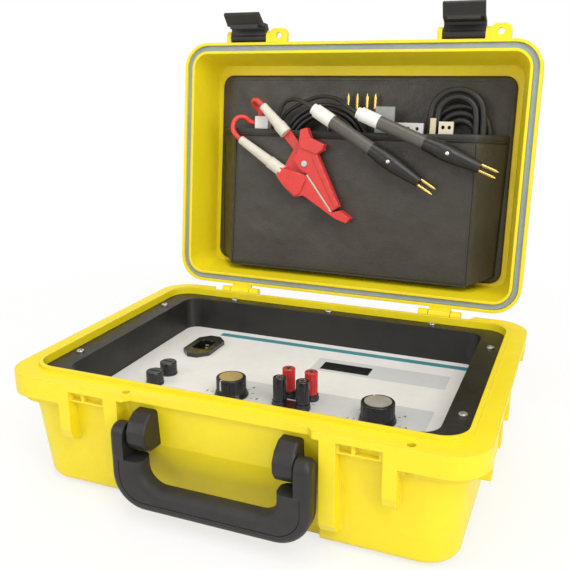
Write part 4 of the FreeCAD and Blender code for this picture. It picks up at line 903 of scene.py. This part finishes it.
INK = 0.12
TICK_LENGTH = 2.6
TICK_WIDTH = 0.55
POST_LINES_X = 22.5
POST_LINES_Y = (-53.2, -33.2)
POST_LINE_LENGTH = 34.0
POST_LINE_WIDTH = 0.5
NUMBER_SIZE = 4.6
NUMBER_DEPTH = 0.06
NUMBER_LIFT = 0.07
DIAL_START = 240         # degrees of the first mark, and from it to the last one
DIAL_SWEEP = 300

# Each dial: tag, centre, where its ticks start, reach of its numbers, marks, and marks per number

DIALS = [("a", KNOB_LEFT, 17.0, 23.2, 11, 2), ("b", KNOB_RIGHT, 17.6, 23.8, 7, 1)]


def dial_spot(centre, reach, k, marks):
    """Where mark k of a dial stands, and its angle."""
    angle = math.radians(DIAL_START - DIAL_SWEEP * k / (marks - 1))
    return centre[0] + reach * math.cos(angle), centre[1] + reach * math.sin(angle), angle


def panel_marks():
    """Tick marks round the two knobs and two thin lines at the posts, as raised ink."""
    shape = bmesh.new()

    def bar(x, y, length, width, angle):
        turn = Matrix.Translation(Vector((x, y, PANEL_TOP + INK / 2)) * MM) @ Matrix.Rotation(angle, 4, "Z")
        sized = turn @ Matrix.Diagonal((length * MM, width * MM, INK * MM, 1))
        bmesh.ops.create_cube(shape, size=1.0, matrix=sized)

    for _, centre, inner, _, marks, _ in DIALS:
        for k in range(marks):
            x, y, angle = dial_spot(centre, inner + TICK_LENGTH / 2, k, marks)
            bar(x, y, TICK_LENGTH, TICK_WIDTH, angle)
    for y in POST_LINES_Y:
        bar(POST_LINES_X, y, POST_LINE_LENGTH, POST_LINE_WIDTH, 0.0)
    mesh = bpy.data.meshes.new("panel_marks")
    shape.to_mesh(mesh)
    shape.free()
    mesh.materials.append(print_ink)
    return placed("panel_marks", mesh)


def panel_numbers():
    """Plain numbers beside the tick marks."""
    made = []
    for tag, centre, _, reach, marks, step in DIALS:
        for k in range(0, marks, step):
            words = bpy.data.curves.new(f"number_{tag}{k}", "FONT")
            words.body = str(k)
            words.size = NUMBER_SIZE * MM
            words.extrude = NUMBER_DEPTH * MM
            words.align_x = "CENTER"
            words.align_y = "CENTER"
            words.materials.append(print_ink)
            item = placed(f"number_{tag}{k}", words)
            x, y, _ = dial_spot(centre, reach, k, marks)
            item.location = Vector((x, y, PANEL_TOP + NUMBER_LIFT)) * MM
            made.append(item)
    return made


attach(panel_marks(), "base")
for item in panel_numbers():
    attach(item, "base")


def dome(name, centre, out, radius, height, material):
    """A low rivet head facing the way out."""
    rings, around = 5, 16
    side = out.orthogonal().normalized()
    other = out.cross(side)
    points, faces = [], []
    for k in range(rings):
        t = k / rings * math.pi / 2
        for a in range(around):
            angle = 2 * math.pi * a / around
            flat = side * math.cos(angle) + other * math.sin(angle)
            points.append(centre + flat * (radius * math.cos(t)) + out * (height * math.sin(t)))
    points.append(centre + out * height)
    for k in range(rings - 1):
        for a in range(around):
            b = (a + 1) % around
            faces.append((k * around + a, k * around + b, (k + 1) * around + b, (k + 1) * around + a))
    top = len(points) - 1
    for a in range(around):
        faces.append(((rings - 1) * around + a, (rings - 1) * around + (a + 1) % around, top))
    faces.append(tuple(range(around))[::-1])
    return mesh_object(name, points, faces, material)


KNOB_BODY_R = {"knob_left": 12.6, "knob_right": 13.4}
POINTER_HALF = 0.6
POINTER_DEPTH = 0.5
POINTER_LIFT = 0.06

# The pointer's path: past the knob's side, and above its top

POINTER_PATH = [(-2.3, 0.0), (-0.9, 0.0), (-0.2, -0.4), (0.12, -1.3), (0.12, -9.0)]


def knob_pointer(name, knob_name, angle):
    """A white line let into a knob: across its rim and down its side."""
    low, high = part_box(knob_name)
    centre = (low + high) / 2
    radius = KNOB_BODY_R[knob_name] * MM
    way = Vector((math.cos(angle), math.sin(angle), 0))
    side = Vector((-way.y, way.x, 0)) * (POINTER_HALF * MM)
    top = high.z + POINTER_LIFT * MM
    path = [(radius + reach * MM, top + rise * MM) for reach, rise in POINTER_PATH]
    depth = POINTER_DEPTH * MM
    points, faces = [], []
    for reach, height in path:
        spot = Vector((centre.x, centre.y, 0)) + way * reach + Vector((0, 0, height))
        points += [spot - side, spot + side]
    inner = len(points)
    for reach, height in path:
        spot = Vector((centre.x, centre.y, 0)) + way * (reach - depth) + Vector((0, 0, height - depth))
        points += [spot - side, spot + side]
    for k in range(len(path) - 1):
        a = 2 * k
        faces.append((a, a + 1, a + 3, a + 2))
        faces.append((inner + a + 2, inner + a + 3, inner + a + 1, inner + a))
        faces.append((a + 2, inner + a + 2, inner + a, a))
        faces.append((a + 1, inner + a + 1, inner + a + 3, a + 3))
    last = 2 * len(path) - 2
    faces += [(0, inner, inner + 1, 1), (last + 1, inner + last + 1, inner + last, last)]
    made = mesh_object(name, points, faces, white_mark, smooth=False)
    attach(made, knob_name)


POINTER_TURNS = {"left": 250, "right": 120}
for side, turn in POINTER_TURNS.items():
    knob_pointer("knob_pointer_" + side, "knob_" + side, math.radians(turn))

PROBE_BUTTON_SEAT = 8.3  # from the probe's axis to the button's foot
PROBE_BUTTON_W = PROBE_AXIS_W - PROBE_BUTTON_SEAT
PROBE_BUTTON_RADIUS = 2.0
PROBE_BUTTON_HEIGHT = 1.0
PROBE_BUTTON_ALONG = {"left": 95.5, "right": 98.5}
for side, along in PROBE_BUTTON_ALONG.items():
    start, end = PROBE_AXES[side]
    share = along / math.hypot(end[0] - start[0], end[1] - start[1])
    x = start[0] + share * (end[0] - start[0])
    r = start[1] + share * (end[1] - start[1])
    button = dome("probe_button_" + side, lid_point(x, r, PROBE_BUTTON_W), lid_way(0, 0, -1),
                  PROBE_BUTTON_RADIUS * MM, PROBE_BUTTON_HEIGHT * MM, dot_chrome)
    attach(button, "lid")


# Stage, light and camera

FLOOR_RADIUS = 8
FLOOR_SIDES = 48
FLOOR_FADE = (0.30, 0.75)    # how far out the floor's shadow starts and stops fading
FLOOR_GLOW = (0.70, 1.0)     # the share of plain white inside and outside the fade


def floor_material():
    """A pale floor that keeps the object's shadow and turns plain white away from it."""
    n = Nodes("floor")
    n.shader.inputs["Base Color"].default_value = (0.86, 0.86, 0.86, 1)
    n.shader.inputs["Roughness"].default_value = 0.9
    path = n.add("ShaderNodeLightPath")
    glow = n.add("ShaderNodeEmission")
    glow.inputs["Color"].default_value = (1, 1, 1, 1)
    glow.inputs["Strength"].default_value = 1.0
    seen = n.math("MAXIMUM", path.outputs["Is Camera Ray"], path.outputs["Is Glossy Ray"])
    seen = n.math("MAXIMUM", seen, path.outputs["Is Transmission Ray"])
    blend = n.add("ShaderNodeMixShader")
    axes = n.axes()
    plain = n.span(n.distance(axes[0], axes[1]), *FLOOR_FADE, *FLOOR_GLOW)
    n.link(n.math("MULTIPLY", seen, plain), blend.inputs[0])
    n.link(n.shader.outputs[0], blend.inputs[1])
    n.link(glow.outputs[0], blend.inputs[2])
    out = next(x for x in n.tree.nodes if x.type == "OUTPUT_MATERIAL")
    n.link(blend.outputs[0], out.inputs[0])
    return n.material


floor_turns = [2 * math.pi * k / FLOOR_SIDES for k in range(FLOOR_SIDES)]
floor_rim = [Vector((FLOOR_RADIUS * math.cos(a), FLOOR_RADIUS * math.sin(a), 0)) for a in floor_turns]
floor = mesh_object("floor", floor_rim, [tuple(range(FLOOR_SIDES))], floor_material(), smooth=False)

SKY_COLOUR = (1, 0.99, 0.97, 1)
SKY_STRENGTH = 0.55
world = bpy.data.worlds.new("studio")
bpy.context.scene.world = world
world.use_nodes = True
sky = world.node_tree
sky.nodes.clear()
sky_out = sky.nodes.new("ShaderNodeOutputWorld")
sky_light = sky.nodes.new("ShaderNodeBackground")
sky_light.inputs["Color"].default_value = SKY_COLOUR
sky_light.inputs["Strength"].default_value = SKY_STRENGTH
sky_seen = sky.nodes.new("ShaderNodeBackground")
sky_seen.inputs["Color"].default_value = (1, 1, 1, 1)
sky_seen.inputs["Strength"].default_value = 1.0
sky_path = sky.nodes.new("ShaderNodeLightPath")
sky_mix = sky.nodes.new("ShaderNodeMixShader")
sky.links.new(sky_path.outputs["Is Camera Ray"], sky_mix.inputs[0])
sky.links.new(sky_light.outputs[0], sky_mix.inputs[1])
sky.links.new(sky_seen.outputs[0], sky_mix.inputs[2])
sky.links.new(sky_mix.outputs[0], sky_out.inputs[0])

LAMP_COLOUR = (1.0, 0.985, 0.96)

# Each lamp: name, place, target, size in metres and power in watts

LAMPS = [
    ("key", (1.1, -1.3, 1.9), (0.0, 0.05, 0.12), 1.3, 24.0),
    ("side", (1.7, -0.9, 0.65), (0.0, 0.10, 0.20), 0.9, 10.5),
    ("sheen", (-0.75, -1.8, 0.85), (0.0, 0.15, 0.25), 0.7, 3.2),
    ("fill", (-1.4, -1.2, 1.1), (0.0, 0.0, 0.15), 1.4, 7.5),
    ("top", (0.1, -0.3, 2.0), (0.0, 0.0, 0.1), 1.0, 8.0),
    ("back", (-0.6, 1.6, 1.7), (0.0, 0.1, 0.2), 1.2, 9.0),
]
for name, place, target, size, power in LAMPS:
    lamp = bpy.data.lights.new(name, "AREA")
    lamp.shape = "DISK"
    lamp.size = size
    lamp.energy = power
    lamp.color = LAMP_COLOUR
    soft_box = placed(name, lamp)
    soft_box.location = place
    soft_box.rotation_euler = (Vector(target) - Vector(place)).to_track_quat("-Z", "Y").to_euler()

# The camera of the photograph

CAMERA_PLACE = (0.2313, -0.5603, 0.3329)
CAMERA_YAW = math.radians(22.48)
CAMERA_PITCH = math.radians(16.52)
CAMERA_ROLL = math.radians(-0.27)
FOCAL_LENGTH = 47.28
SENSOR_WIDTH = 36.0
CLIP_START = 0.01
forward = Vector((-math.sin(CAMERA_YAW) * math.cos(CAMERA_PITCH),
                  math.cos(CAMERA_YAW) * math.cos(CAMERA_PITCH),
                  -math.sin(CAMERA_PITCH)))
right = Vector((math.cos(CAMERA_YAW), math.sin(CAMERA_YAW), 0))
upright = right.cross(forward)
right_rolled = right * math.cos(CAMERA_ROLL) + upright * math.sin(CAMERA_ROLL)
up_rolled = upright * math.cos(CAMERA_ROLL) - right * math.sin(CAMERA_ROLL)
lens = bpy.data.cameras.new("camera")
lens.lens = FOCAL_LENGTH
lens.sensor_width = SENSOR_WIDTH
lens.clip_start = CLIP_START
camera = placed("camera", lens)
camera.matrix_world = Matrix((
    (right_rolled.x, up_rolled.x, -forward.x, CAMERA_PLACE[0]),
    (right_rolled.y, up_rolled.y, -forward.y, CAMERA_PLACE[1]),
    (right_rolled.z, up_rolled.z, -forward.z, CAMERA_PLACE[2]),
    (0, 0, 0, 1)))
bpy.context.scene.camera = camera
bpy.context.scene.view_settings.view_transform = "Standard"
